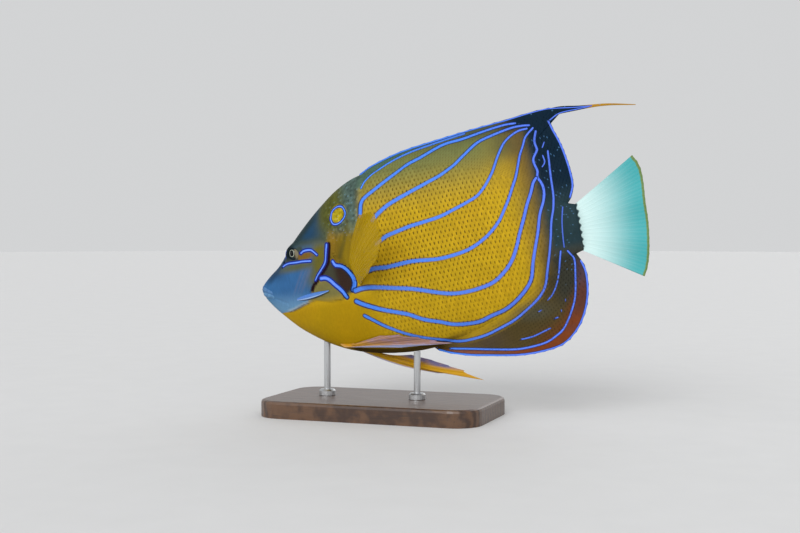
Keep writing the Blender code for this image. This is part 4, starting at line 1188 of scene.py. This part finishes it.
class Fin:
    """A fin between the roots and tips of its rays.

    p counts the rays from the front, and v goes from 0 at the root to 1 at the edge."""

    def __init__(self, roots, tips, halves, spines=0, scallop=.015, spine_scallop=.02, wave=0,
                 shape=None, look=None, flesh=0):
        self.roots, self.tips = np.array(roots, float), np.array(tips, float)
        self.flesh = np.broadcast_to(np.array(flesh, float), len(self.roots))
        self.long = np.linalg.norm(self.tips - self.roots, axis=1)
        self.root_half, self.edge_half, self.ridge = halves
        self.spines, self.scallop, self.spine_scallop = spines, scallop, spine_scallop
        self.wave, self.shape, self.look = wave, shape, look
        self.last = len(self.roots) - 1

    def middle(self, p, v):
        p, v = np.broadcast_arrays(np.asarray(p, float), np.asarray(v, float))
        at = np.clip(p, 0, self.last)
        order = np.arange(self.last + 1)
        root = np.stack([np.interp(at, order, column) for column in self.roots.T], -1)
        tip = np.stack([np.interp(at, order, column) for column in self.tips.T], -1)
        part = at - np.floor(at)
        dip = 4 * part * (1 - part)
        deep = np.where(at < self.spines - 1, self.spine_scallop, self.scallop)
        reach = v * (1 - deep * dip * np.clip(v, 0, 1)**4)
        place = root + (tip - root) * reach[..., None]
        if self.shape:
            place = self.shape(place, at, v)
        if self.wave:
            place = place.copy()
            place[..., 1] += self.wave * np.sin(at * 1.1) * np.clip(v, 0, 1)**2
        return place

    def thickness(self, v):
        """Half-thickness of the web without its rays."""
        return self.edge_half + (self.root_half - self.edge_half) * (1 - np.clip(v, 0, 1))**2

    def fleshy(self, p, v):
        """What the muscle at the base adds, so that the fin flows out of the body."""
        at = np.clip(p, 0, self.last)
        order = np.arange(self.last + 1)
        reach = np.interp(at, order, self.long) * np.clip(v, 0, 1)
        ends = ease(0, 1.6, at) * ease(0, 1.6, self.last - at)
        return np.interp(at, order, self.flesh) * np.exp(-reach / FLESH_REACH) * ends

    def surface(self, p, v):
        """Left face of the fin, level with its rays."""
        place = self.middle(p, v)
        place[..., 1] -= self.thickness(v) + self.ridge * .4 + self.fleshy(p, v)
        return place

    def mesh(self, per_ray, rows):
        """A closed sheet: one long grid that runs up the left face and down the right one."""
        p = np.linspace(0, self.last, self.last * per_ray + 1)
        v = np.linspace(0, 1, rows) ** .92
        pp, vv = np.meshgrid(p, v)
        middle = self.middle(pp, vv)
        half = self.thickness(vv) * .86
        half = half + self.ridge * (1 - .55 * vv) * ray_profile(pp, vv, self.spines)
        half = half + self.fleshy(pp, vv)
        half[:, [0, -1]] = 0
        half[0] = 0
        look = self.look(middle, pp, vv) if self.look else np.array((0.0, -1.0, 0.0))
        left, right = middle + look * half[..., None], middle - look * half[..., None]
        places = np.concatenate([left, right[::-1]])
        return close_up(grid(len(p), 2 * rows, places))


def flat(points):
    """Places in the middle plane of the fish."""
    return [(p[0], 0.0, p[1]) for p in points]


def contour(line, low, high, count, sink):
    """Roots of rays along the back or belly, sunk into the body."""
    inward = -1 if line is BACK_LINE else 1
    xs = np.linspace(low, high, count)
    return [(x, 0.0, z + inward * sink) for x, z in zip(xs, through(line, xs))]


def base_flesh(roots):
    """Half-thickness of the muscle at each ray's root, so that it stays inside the body there."""
    x, _, z = np.array(roots).T
    return np.clip(half_width(x, z) - ROOT_COVER, 0, FLESH_MOST)


def between(ends, count):
    """Evenly spaced places from one end to the other."""
    part = np.linspace(0, 1, count)[:, None]
    return np.array(ends[0]) * (1 - part) + np.array(ends[1]) * part


def median_roots(line, ends, rays):
    """Roots of the spines and then of the soft rays along the back or belly."""
    front, last_spine, first_ray, rear = ends
    return (contour(line, front, last_spine, rays[0], .005)
            + contour(line, first_ray, rear, rays[1], .004))


def dorsal():
    """The dorsal fin: spines, then the rays of its crest and of its rear margin."""
    hard, soft = DORSAL_RAYS
    roots = median_roots(BACK_LINE, DORSAL_ROOTS, DORSAL_RAYS)
    rear = soft - len(DORSAL_CREST)
    tips = flat(path(DORSAL_SPINES, hard)) + flat(DORSAL_CREST) + flat(path(DORSAL_REAR, rear))
    return Fin(roots, tips, MEDIAN_HALVES, spines=hard, scallop=.006, spine_scallop=.012,
               wave=.0006, flesh=base_flesh(roots))


def anal():
    """The anal fin: three spines, then soft rays."""
    hard, soft = ANAL_RAYS
    roots = median_roots(BELLY_LINE, ANAL_ROOTS, ANAL_RAYS)
    tips = flat(ANAL_SPINES) + flat(path(ANAL_EDGE, soft))
    return Fin(roots, tips, MEDIAN_HALVES, spines=hard, scallop=.006, wave=-.0006,
               flesh=base_flesh(roots))


def caudal():
    """The tail fin, spread from the end of the stalk."""
    x, z, half = TAIL_ROOT
    roots = [(x, 0.0, z + level) for level in np.linspace(-half, half, TAIL_RAYS)]
    return Fin(roots, flat(path(TAIL_EDGE, TAIL_RAYS)), TAIL_HALVES, scallop=.003, wave=.0009)


def pectoral(side):
    """A pectoral fin: side is -1 for the left one and 1 for the right one."""
    at = between(PECTORAL_ROOTS, PECTORAL_RAYS)
    skin = np.stack([at[:, 0], side * half_width(at[:, 0], at[:, 1]), at[:, 1]], 1)
    tips = path(PECTORAL_TIPS, PECTORAL_RAYS)
    tips = np.stack([tips[:, 0], side * tips[:, 2], tips[:, 1]], 1)
    run = tips - skin
    roots = skin - run / np.linalg.norm(run, axis=1, keepdims=True) * .0045
    centre = PECTORAL_RAYS // 2
    blade = np.cross(tips[-1] - tips[0], tips[centre] - roots[centre])
    blade = blade / np.linalg.norm(blade)

    def cup(place, p, v):
        place = place.copy()
        place[..., 0] -= PECTORAL_CUP * .5 * np.sin(math.pi * np.clip(v, 0, 1))
        return place + blade * (.0007 * np.sin(p * 1.7) * np.clip(v, 0, 1)**2)[..., None]

    return Fin(roots, tips, PECTORAL_HALVES, scallop=.03, shape=cup,
               look=lambda place, p, v: blade)


def near_pelvic():
    """The left pelvic fin, folded back against the belly."""

    def normal(x, z):
        step = .0005
        along_x = (half_width(x + step, z) - half_width(x - step, z)) / (2 * step)
        along_z = (half_width(x, z + step) - half_width(x, z - step)) / (2 * step)
        out = np.stack([-along_x, -np.ones_like(x), -along_z], -1)
        return out / np.linalg.norm(out, axis=-1, keepdims=True)

    def level(place):
        return np.maximum(place[..., 2], through(BELLY_LINE, place[..., 0]) + .0030)

    def lay(place, p, v):
        rise = ease(0, .22, v)
        lift = .0019 * rise - .0040 * (1 - rise) + .0006 * np.sin(p * 2.1) * v
        high = level(place)
        out = place.copy()
        out[..., 1] = -half_width(place[..., 0], high)
        return out + normal(place[..., 0], high) * lift[..., None]

    roots = flat(between(PELVIC_ROOTS, len(NEAR_PELVIC)))
    return Fin(roots, flat(NEAR_PELVIC), PELVIC_HALVES, spines=1, scallop=.05, shape=lay,
               look=lambda place, p, v: normal(place[..., 0], level(place)))


def far_pelvic():
    """The right pelvic fin, hanging open below the belly."""
    roots = [(x, .0085, z + .001) for x, z in between(PELVIC_ROOTS, len(FAR_PELVIC))]
    tips = [(x, .0175, z) for x, z in FAR_PELVIC]

    def bow(place, p, v):
        place = place.copy()
        place[..., 2] -= .0045 * np.sin(math.pi * np.clip(v, 0, 1))
        place[..., 1] += .0010 * np.sin(p * 2.3) * np.clip(v, 0, 1)
        return place

    return Fin(roots, tips, PELVIC_HALVES, spines=1, scallop=.06, shape=bow)


def fin_columns(fin, gap):
    """Columns of scales with a gap between them, measured nearly half-way along the rays."""
    columns = []
    at = 0.4
    while at < fin.last - .3:
        columns.append(at)
        ahead, behind = fin.middle(at + .01, .45), fin.middle(at - .01, .45)
        at += gap / (np.linalg.norm(ahead - behind) / .02)
    return columns


def fin_places(fin):
    """Keeps how far a point is along its ray, how near it is to the ray, and which ray it is."""
    pp, vv = np.meshgrid(np.linspace(0, fin.last, fin.last * 6 + 1), np.linspace(0, 1, 200))
    profile = ray_profile(pp, vv, fin.spines)
    known = KDTree(pp.size)
    for k, place in enumerate(fin.middle(pp, vv).reshape(-1, 3).tolist()):
        known.insert(place, k)
    known.balance()

    def keep(mesh, places):
        near = [known.find(place)[1] for place in places.tolist()]
        at = (vv.ravel(), profile.ravel(), pp.ravel() / fin.last)
        attribute(mesh, "fin_place", np.stack([values[near] for values in at], 1))

    return keep


# Operators, one for each group of pieces

class ANGELFISH_OT_skin(bpy.types.Operator):
    """Lays one seamless skin over the head, trunk and tail stalk"""
    bl_idname = "angelfish.skin"
    bl_label = "Skin"

    def execute(self, context):
        xs, turns = (np.unique(np.concatenate([np.linspace(*part) for part in parts]))
                     for parts in (SKIN_COLUMNS, SKIN_TURNS))
        xx, tt = np.meshgrid(xs, turns)
        left = body(xx, tt, -sizes().coat)
        right = (left * (1, -1, 1))[::-1]
        places = np.concatenate([left, right, left[:1]])
        bm = close_up(grid(len(xs), len(places), places))
        fish_piece("skin", bm, coat_finish("fish_skin", 0),
                   ("head", "trunk", "tail_stalk"), mark)
        return {"FINISHED"}


class ANGELFISH_OT_scales(bpy.types.Operator):
    """Covers the flanks with overlapping scales, and the head and chest with fine ones"""
    bl_idname = "angelfish.scales"
    bl_label = "Scales"

    def execute(self, context):
        kept = sizes()
        flank = coat_finish("flank_scales", 1.0)
        head = coat_finish("head_scales", 0.15)

        def sheet(x, turn):
            return body(x, turn, -kept.coat)

        def shrink(x):
            return 1 - STALK_SHRINK * ease(.248, .274, x)

        columns = [FLANK_SCALES[0]]
        while columns[-1] < FLANK_SCALES[1]:
            columns.append(columns[-1] + kept.pitch / 2 * float(shrink(columns[-1])))
        flank_columns = np.array(columns)
        head_columns = np.arange(*HEAD_SCALES, kept.fine / 2)

        for side, sign in SIDES:
            unwrap = bake_map(side, .29, -1, .03)
            roots = plate_roots(sheet, flank_columns, kept.row * shrink(flank_columns), -1,
                                (.35, .35, 1))
            less = shrink(roots[:, 0])
            lay_plates("flank_scales_" + side, sheet, roots,
                       (kept.pitch * .80 * less, kept.row * .76 * less), SKIN_STEPS,
                       FLANK_RISE * less[:, None]**2, sign, flank,
                       FLANK_CELLS, unwrap, FLANK_SEED)
            roots = plate_roots(sheet, head_columns, kept.fine * 1.08, -1, (.4, .4, 1))
            roots = roots[~bare_of_scales(sheet(roots[:, 0], roots[:, 1]))]
            rise = .00002 + .00003 * ease(.024, .045, roots[:, :1])
            lay_plates("head_scales_" + side, sheet, roots, (kept.fine * .80, kept.fine * .84),
                       SKIN_STEPS, rise, sign, head, FINE_CELLS, unwrap,
                       HEAD_SEED)
        return {"FINISHED"}


class ANGELFISH_OT_face(bpy.types.Operator):
    """Makes the lips and the spines of the cheeks"""
    bl_idname = "angelfish.face"
    bl_label = "Lips and cheek spines"

    def lip_path(self, rise):
        """The middle of a lip, from one corner of the mouth round the front to the other."""
        turn = np.linspace(-.5, .5, LIP_STEPS) * math.pi
        back = 1 - np.cos(turn)
        x = MOUTH_FRONT[0] + (MOUTH_CORNER[0] - MOUTH_FRONT[0]) * back + LIP_RADIUS * 1.2
        y = -MOUTH_CORNER[1] * np.sin(turn)
        z = MOUTH_FRONT[1] + (MOUTH_CORNER[2] - MOUTH_FRONT[1]) * back + rise * (1 - .55 * back)
        return np.stack([x, y, z], 1)

    def lips(self):
        for name, share, dark, pale in LIPS:
            lip = Finish(name + "_skin", IOR=1.42, Specular_IOR_Level=0.12)
            grain = lip.noise(330, 4)
            lip.feed("Base Color", lip.mix(lip.ramp(grain, .30, .72), dark, pale))
            lip.feed("Roughness", 0.32 + grain * 0.2)
            lip.feed("Normal", lip.bump(lip.noise(900, 3), .0002, 0.7))
            level = np.sin(np.linspace(0, 1, LIP_STEPS) * math.pi)
            folds = 1 + .025 * np.sin(np.linspace(0, 46, LIP_STEPS))
            radius = LIP_RADIUS * (.60 + .40 * level) * folds
            bm = tube(self.lip_path(LIP_RISE * share), radius, radius, (0, 0, 1))
            fish_piece(name, bm, lip.material)

    def cheek_spines(self):
        bone = Finish("cheek_spine", IOR=1.45, Specular_IOR_Level=0.35, Coat_Weight=0.15,
                      Coat_Roughness=0.15)
        streak = bone.noise(240, 3, stretch=(1, 6, 6))
        _, _, height = bone.kept("spine_place")
        tone = bone.mix(streak, (.030, .110, .430), (.075, .230, .600))
        # A painted highlight lightens the lower side of each spine, and a painted shadow darkens
        # its underside
        tone = bone.mix(bone.ramp(height + (streak - .5) * .4, -.05, -.45), tone,
                        (.300, .450, .750))
        tone = bone.mix(bone.ramp(height, -.62, -.80), tone, (.020, .040, .090))
        bone.feed("Base Color", tone)
        bone.feed("Roughness", 0.25 + streak * 0.2)
        bone.feed("Normal", bone.bump(streak, .00015, 0.6))
        at = path(CHEEK_SPINE, CHEEK_SPINE_STEPS)
        sink = spread(SPINE_SINK, CHEEK_SPINE_STEPS)
        radius = spread(SPINE_RADII, CHEEK_SPINE_STEPS)
        y = half_width(at[:, 0], at[:, 1]) - sink

        def band(mesh, places):
            level = np.interp(places[:, 0], at[:, 0], at[:, 1])
            thick = np.maximum(np.interp(places[:, 0], at[:, 0], radius), .0003)
            height = (places[:, 2] - level) / thick
            attribute(mesh, "spine_place", np.stack([places[:, 0], height, height], 1))

        for side, sign in SIDES:
            centres = np.stack([at[:, 0], y * sign, at[:, 1]], 1)
            bm = tube(centres, radius, radius * 1.25, (0, 0, 1))
            fish_piece("cheek_spine_" + side, bm, bone.material, (), band)

    def execute(self, context):
        self.lips()
        self.cheek_spines()
        return {"FINISHED"}


class ANGELFISH_OT_eyes(bpy.types.Operator):
    """Makes both eyes: a dark pupil in a pale ring, a mottled iris and a wet surface"""
    bl_idname = "angelfish.eyes"
    bl_label = "Eyes"

    def execute(self, context):
        finish = Finish("wet_eye", IOR=1.40, Specular_IOR_Level=0.18, Coat_Weight=0.12,
                        Coat_Roughness=0.03)
        radial, across, _ = finish.kept("eye_place")
        blotch = finish.noise(700, 4)
        iris = finish.mix(blotch, (.004, .011, .016), (.018, .034, .034))
        iris = finish.mix(finish.ramp(radial, .44, .58), iris, (.004, .012, .020))
        behind = finish.ramp(across, .10, .36) * finish.ramp(radial, .40, .47)
        iris = finish.mix(behind * (0.5 + blotch * 0.5), iris, (.300, .250, .150))
        gold = finish.ramp(finish.noise(380, 2), .54, .70)
        iris = finish.mix(gold * 0.22, iris, (.110, .095, .030))
        ring = finish.ramp(radial, *RING_INNER) * finish.fall(radial, *RING_OUTER)
        tone = finish.mix(ring * 0.90, iris, (.560, .600, .460))
        tone = finish.mix(finish.fall(radial, *PUPIL_EDGE), tone, (.001, .002, .003))
        finish.feed("Base Color", tone)
        finish.feed("Roughness", 0.16 + finish.ramp(radial, .36, .45) * (0.20 + blotch * 0.25))
        finish.feed("Normal", finish.bump(blotch * finish.ramp(radial, .38, .48), .0002, 0.5))
        look = np.array(EYE_LOOK)
        look = look / np.linalg.norm(look)
        for side, sign in SIDES:
            bm = bmesh.new()
            bmesh.ops.create_uvsphere(bm, u_segments=96, v_segments=64, radius=EYE_RADIUS)
            bmesh.ops.rotate(bm, verts=bm.verts, matrix=Matrix.Rotation(math.pi / 2, 3, "X"))
            axis = look * (1, -sign, 1)
            for vert in bm.verts:
                level = np.dot(vert.co, axis) / EYE_RADIUS
                reach = math.sqrt(max(0, 1 - level * level))
                dent = -.00025 * math.exp(-((reach - .62) / .14) ** 2) if level > 0 else 0
                swell = .00030 * math.exp(-(reach / .34) ** 4) if level > 0 else 0
                vert.co *= 1 + (dent + swell) / EYE_RADIUS
            centre = Vector((EYE[0], sign * EYE[1], EYE[2]))
            bmesh.ops.translate(bm, verts=bm.verts, vec=centre)

            def place(mesh, places, centre=np.array(centre), axis=axis):
                away = (places - centre) / EYE_RADIUS
                level = away @ axis
                flat_away = away - level[:, None] * axis
                flat_away[:, :2] /= PUPIL_SLIM
                radial = np.linalg.norm(flat_away, axis=1)
                radial = np.where(level > 0, radial, 1.5)
                attribute(mesh, "eye_place", np.stack([radial, away[:, 0], away[:, 2]], 1))

            fish_piece("eye_ball_" + side, bm, finish.material, ("eye_" + side,), place)
        return {"FINISHED"}


class ANGELFISH_OT_median_fins(bpy.types.Operator):
    """Makes the dorsal fin with its filament and the anal fin, with scales on their bases"""
    bl_idname = "angelfish.median_fins"
    bl_label = "Dorsal and anal fins"

    def execute(self, context):
        kept = sizes()
        web = coat_finish("fin_web", 0, True)
        plates = coat_finish("fin_scales", 0.25)
        dorsal_fin, anal_fin = dorsal(), anal()
        fish_piece("dorsal", dorsal_fin.mesh(per_ray=12, rows=44), web,
                   ("dorsal_fin",), mark)
        fish_piece("anal", anal_fin.mesh(per_ray=12, rows=36), web, ("anal_fin",),
                   mark)
        for fin, name in ((dorsal_fin, "dorsal"), (anal_fin, "anal")):
            reach = FIN_SCALES[name]
            columns = fin_columns(fin, kept.fin_scale / 2)
            roots = plate_roots(fin.surface, columns, kept.fin_scale * 1.08, 0, (.1, 0, reach))
            roots = roots[roots[:, 1] < reach]
            for side, sign in SIDES:
                lay_plates(f"{name}_scales_{side}", fin.surface, roots,
                           (kept.fin_scale * .80, kept.fin_scale * .84), FIN_STEPS, FIN_RISE,
                           sign, plates, FINE_CELLS,
                           bake_map(side, fin.last, 0, .02), FIN_SEED)

        at = flat(path(FILAMENT, FILAMENT_STEPS))
        high = spread(FILAMENT_HALVES, FILAMENT_STEPS)
        thick = np.linspace(*FILAMENT_THICK, FILAMENT_STEPS)
        bm = tube(at, thick, high, (0, 0, 1), 20)
        fish_piece("dorsal_filament", bm, web, (), mark)
        return {"FINISHED"}


class ANGELFISH_OT_tail(bpy.types.Operator):
    """Makes the white tail fin with its turquoise rim"""
    bl_idname = "angelfish.tail"
    bl_label = "Tail fin"

    def execute(self, context):
        c = colours()
        finish, reach, ray, rank, streak = web_finish("tail_web")
        tone = finish.mix(finish.ramp(reach, .12, .95), c["tail"], c["tail_rim"])
        tone = finish.mix(finish.ramp(reach, .964, .974) * 0.95, tone, (.140, .200, .030))
        tone = finish.mix(ray * 0.04, tone, (.760, .840, .820))
        tone = finish.mix(streak * 0.07, tone, c["tail_rim"] * .8)
        start = reach + finish.waves(rank * 44) * 0.012
        tone = finish.mix(finish.fall(start, .092, .112), tone, c["stalk"])
        finish.feed("Base Color", tone)
        finish.feed("Roughness", 0.38 + streak * 0.2)
        height = finish.waves(reach * 260) * ray * 0.3 + streak
        finish.feed("Normal", finish.bump(height, .00012, 0.5))
        fin = caudal()
        fish_piece("tail", fin.mesh(per_ray=14, rows=50), finish.material,
                   ("caudal_fin",), fin_places(fin))
        return {"FINISHED"}


class ANGELFISH_OT_paired_fins(bpy.types.Operator):
    """Makes the clear golden pectoral fins and the long pelvic fins"""
    bl_idname = "angelfish.paired_fins"
    bl_label = "Pectoral and pelvic fins"

    def execute(self, context):
        c = colours()
        web, reach, ray, _, streak = web_finish("pectoral_web", 0.15, 260, None)
        tone = web.mix(ray * 0.45, c["pectoral"], c["pectoral"] * (.80, .80, .7))
        tone = web.mix(streak * 0.25, tone, c["pectoral"] * (1.15, 1.2, 1.4))
        feed_web(web, tone, ray, streak, 0.32)
        web.feed("Alpha", 0.66 + ray * 0.20 + web.ramp(reach, .55, .1) * 0.20
                 - web.ramp(reach, .80, 1.0) * 0.10)
        for side, sign in SIDES:
            fin = pectoral(sign)
            fish_piece("pectoral_" + side, fin.mesh(per_ray=12, rows=36), web.material,
                       ("pectoral_fin_" + side,), fin_places(fin))

        near, reach, ray, rank, streak = web_finish("pelvic_near_web")
        tone = near.mix(near.ramp(reach, .22, .66), (.500, .250, .010), (.335, .180, .135))
        tone = near.mix(near.ramp(streak, .45, .70) * near.ramp(reach, .3, .6) * 0.5, tone,
                        (.300, .240, .440))
        tone = near.mix(near.fall(rank, .10, .24) * near.ramp(reach, .20, .36), tone,
                        PELVIC_EDGE)
        tone = near.mix(ray * 0.15, tone, (.600, .420, .330))
        feed_web(near, tone, ray, streak, 0.34)
        fin = near_pelvic()
        fish_piece("pelvic_left", fin.mesh(per_ray=16, rows=60), near.material,
                   ("pelvic_fin_left",), fin_places(fin))

        far, reach, ray, rank, streak = web_finish("pelvic_far_web")
        tone = far.mix(far.ramp(reach, .15, .8), (.560, .320, .006), (.660, .350, .010))
        tone = far.mix(far.fall(rank, .02, .10) * 0.9, tone, PELVIC_EDGE)
        tone = far.mix(far.ramp(rank, .34, .50) * far.ramp(reach, .66, .90) * 0.8, tone,
                       (.060, .130, .440))
        tone = far.mix(far.ramp(streak, .5, .72) * 0.35 + ray * 0.10, tone, (.620, .300, .120))
        feed_web(far, tone, ray, streak, 0.34)
        fin = far_pelvic()
        fish_piece("pelvic_right", fin.mesh(per_ray=16, rows=50), far.material,
                   ("pelvic_fin_right",), fin_places(fin))
        return {"FINISHED"}


class ANGELFISH_OT_stand(bpy.types.Operator):
    """Gives the base its dark wood and the rods their brushed steel"""
    bl_idname = "angelfish.stand"
    bl_label = "Stand"

    def execute(self, context):
        wood = Finish("oiled_walnut", IOR=1.5, Coat_Weight=0.35, Coat_Roughness=0.18)
        warp = wood.noise(9, 4, out=1)
        bent = wood.node("ShaderNodeMix", {"data_type": "VECTOR"},
                         {0: 0.022, 4: wood.place, 5: warp}, out=1)
        rings = wood.node("ShaderNodeTexWave", {"wave_type": "BANDS", "bands_direction": "Y"},
                          {"Vector": bent, "Scale": 58.0, "Distortion": 5.0, "Detail": 3.0,
                           "Detail Scale": 1.6})
        pores = wood.noise(900, 3, stretch=(.05, 1, 1))
        tone = wood.mix(rings, (.040, .016, .007), (.105, .048, .020))
        tone = wood.mix(wood.ramp(pores, .55, .75) * 0.6, tone, (.016, .007, .004))
        wood.feed("Base Color", tone)
        wood.feed("Roughness", 0.30 + pores * 0.22)
        wood.feed("Normal", wood.bump(rings * 0.3 - pores, .00012, 0.5))
        steel = Finish("brushed_steel", Metallic=1.0)
        brush = steel.noise(1400, 2, stretch=(1, 1, .03))
        steel.feed("Base Color", steel.mix(brush, (.42, .43, .44), (.62, .63, .64)))
        steel.feed("Roughness", 0.22 + brush * 0.18)
        steel.feed("Normal", steel.bump(brush, .00006, 0.5))
        for name, finish in (("stand_base", wood), ("stand_rod_front", steel),
                             ("stand_rod_back", steel)):
            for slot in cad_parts[name].material_slots:
                slot.material = finish.material
        return {"FINISHED"}


class ANGELFISH_OT_stage(bpy.types.Operator):
    """Sets the pale floor, the soft studio lights and the camera"""
    bl_idname = "angelfish.stage"
    bl_label = "Stage"

    def execute(self, context):
        scene = context.scene
        scene.view_settings.view_transform = "Standard"
        bm = bmesh.new()
        bmesh.ops.create_circle(bm, cap_ends=True, segments=128, radius=sizes().floor)
        mesh = bpy.data.meshes.new("floor")
        bm.to_mesh(mesh)
        bm.free()
        finish = Finish("pale_floor", Roughness=0.75)
        grain = finish.noise(30, 3)
        finish.feed("Base Color", finish.mix(grain, (.66, .66, .66), (.70, .70, .70)))
        mesh.materials.append(finish.material)
        floor = bpy.data.objects.new("floor", mesh)
        scene.collection.objects.link(floor)

        world = bpy.data.worlds.new("studio")
        world.use_nodes = True
        world.node_tree.nodes["Background"].inputs[0].default_value = STUDIO_COLOUR
        world.node_tree.nodes["Background"].inputs[1].default_value = STUDIO_POWER
        scene.world = world
        for name, place, angle, power in LIGHTS:
            light = bpy.data.lights.new(name, "SUN")
            light.angle = angle
            light.energy = power
            item = bpy.data.objects.new(name, light)
            item.location = place
            item.rotation_euler = (AIM - Vector(place)).to_track_quat("-Z", "Y").to_euler()
            scene.collection.objects.link(item)

        camera = bpy.data.cameras.new("camera")
        camera.lens = CAMERA_LENS
        camera.sensor_width = CAMERA_SENSOR
        item = bpy.data.objects.new("camera", camera)
        turn, tilt = CAMERA_TURN, CAMERA_TILT
        back = Vector((math.sin(turn) * math.cos(tilt), -math.cos(turn) * math.cos(tilt),
                       math.sin(tilt)))
        item.location = CAMERA_PLACE
        item.rotation_euler = back.to_track_quat("Z", "Y").to_euler()
        scene.collection.objects.link(item)
        scene.camera = item
        return {"FINISHED"}


STEPS = (ANGELFISH_OT_skin, ANGELFISH_OT_scales, ANGELFISH_OT_face, ANGELFISH_OT_eyes,
         ANGELFISH_OT_median_fins, ANGELFISH_OT_tail, ANGELFISH_OT_paired_fins,
         ANGELFISH_OT_stand, ANGELFISH_OT_stage)


class ANGELFISH_PT_panel(bpy.types.Panel):
    """Lists the settings and the steps of the angelfish"""
    bl_idname = "ANGELFISH_PT_panel"
    bl_label = "Ring angelfish"
    bl_space_type = "VIEW_3D"
    bl_region_type = "UI"
    bl_category = "Angelfish"

    def draw(self, context):
        for group in (context.scene.angelfish_colours, context.scene.angelfish_sizes):
            box = self.layout.box()
            for name in type(group).__annotations__:
                box.prop(group, name)
        for step in STEPS:
            self.layout.operator(step.bl_idname)


CLASSES = (AngelfishColours, AngelfishSizes) + STEPS + (ANGELFISH_PT_panel,)


def register():
    for each in CLASSES:
        bpy.utils.register_class(each)
    bpy.types.Scene.angelfish_colours = bpy.props.PointerProperty(type=AngelfishColours)
    bpy.types.Scene.angelfish_sizes = bpy.props.PointerProperty(type=AngelfishSizes)


def unregister():
    del bpy.types.Scene.angelfish_sizes
    del bpy.types.Scene.angelfish_colours
    for each in reversed(CLASSES):
        bpy.utils.unregister_class(each)


def main():
    register()
    bpy.ops.angelfish.skin()
    bpy.ops.angelfish.scales()
    bpy.ops.angelfish.face()
    bpy.ops.angelfish.eyes()
    bpy.ops.angelfish.median_fins()
    bpy.ops.angelfish.tail()
    bpy.ops.angelfish.paired_fins()
    bpy.ops.angelfish.stand()
    bpy.ops.angelfish.stage()


if __name__ == "__main__":
    main()
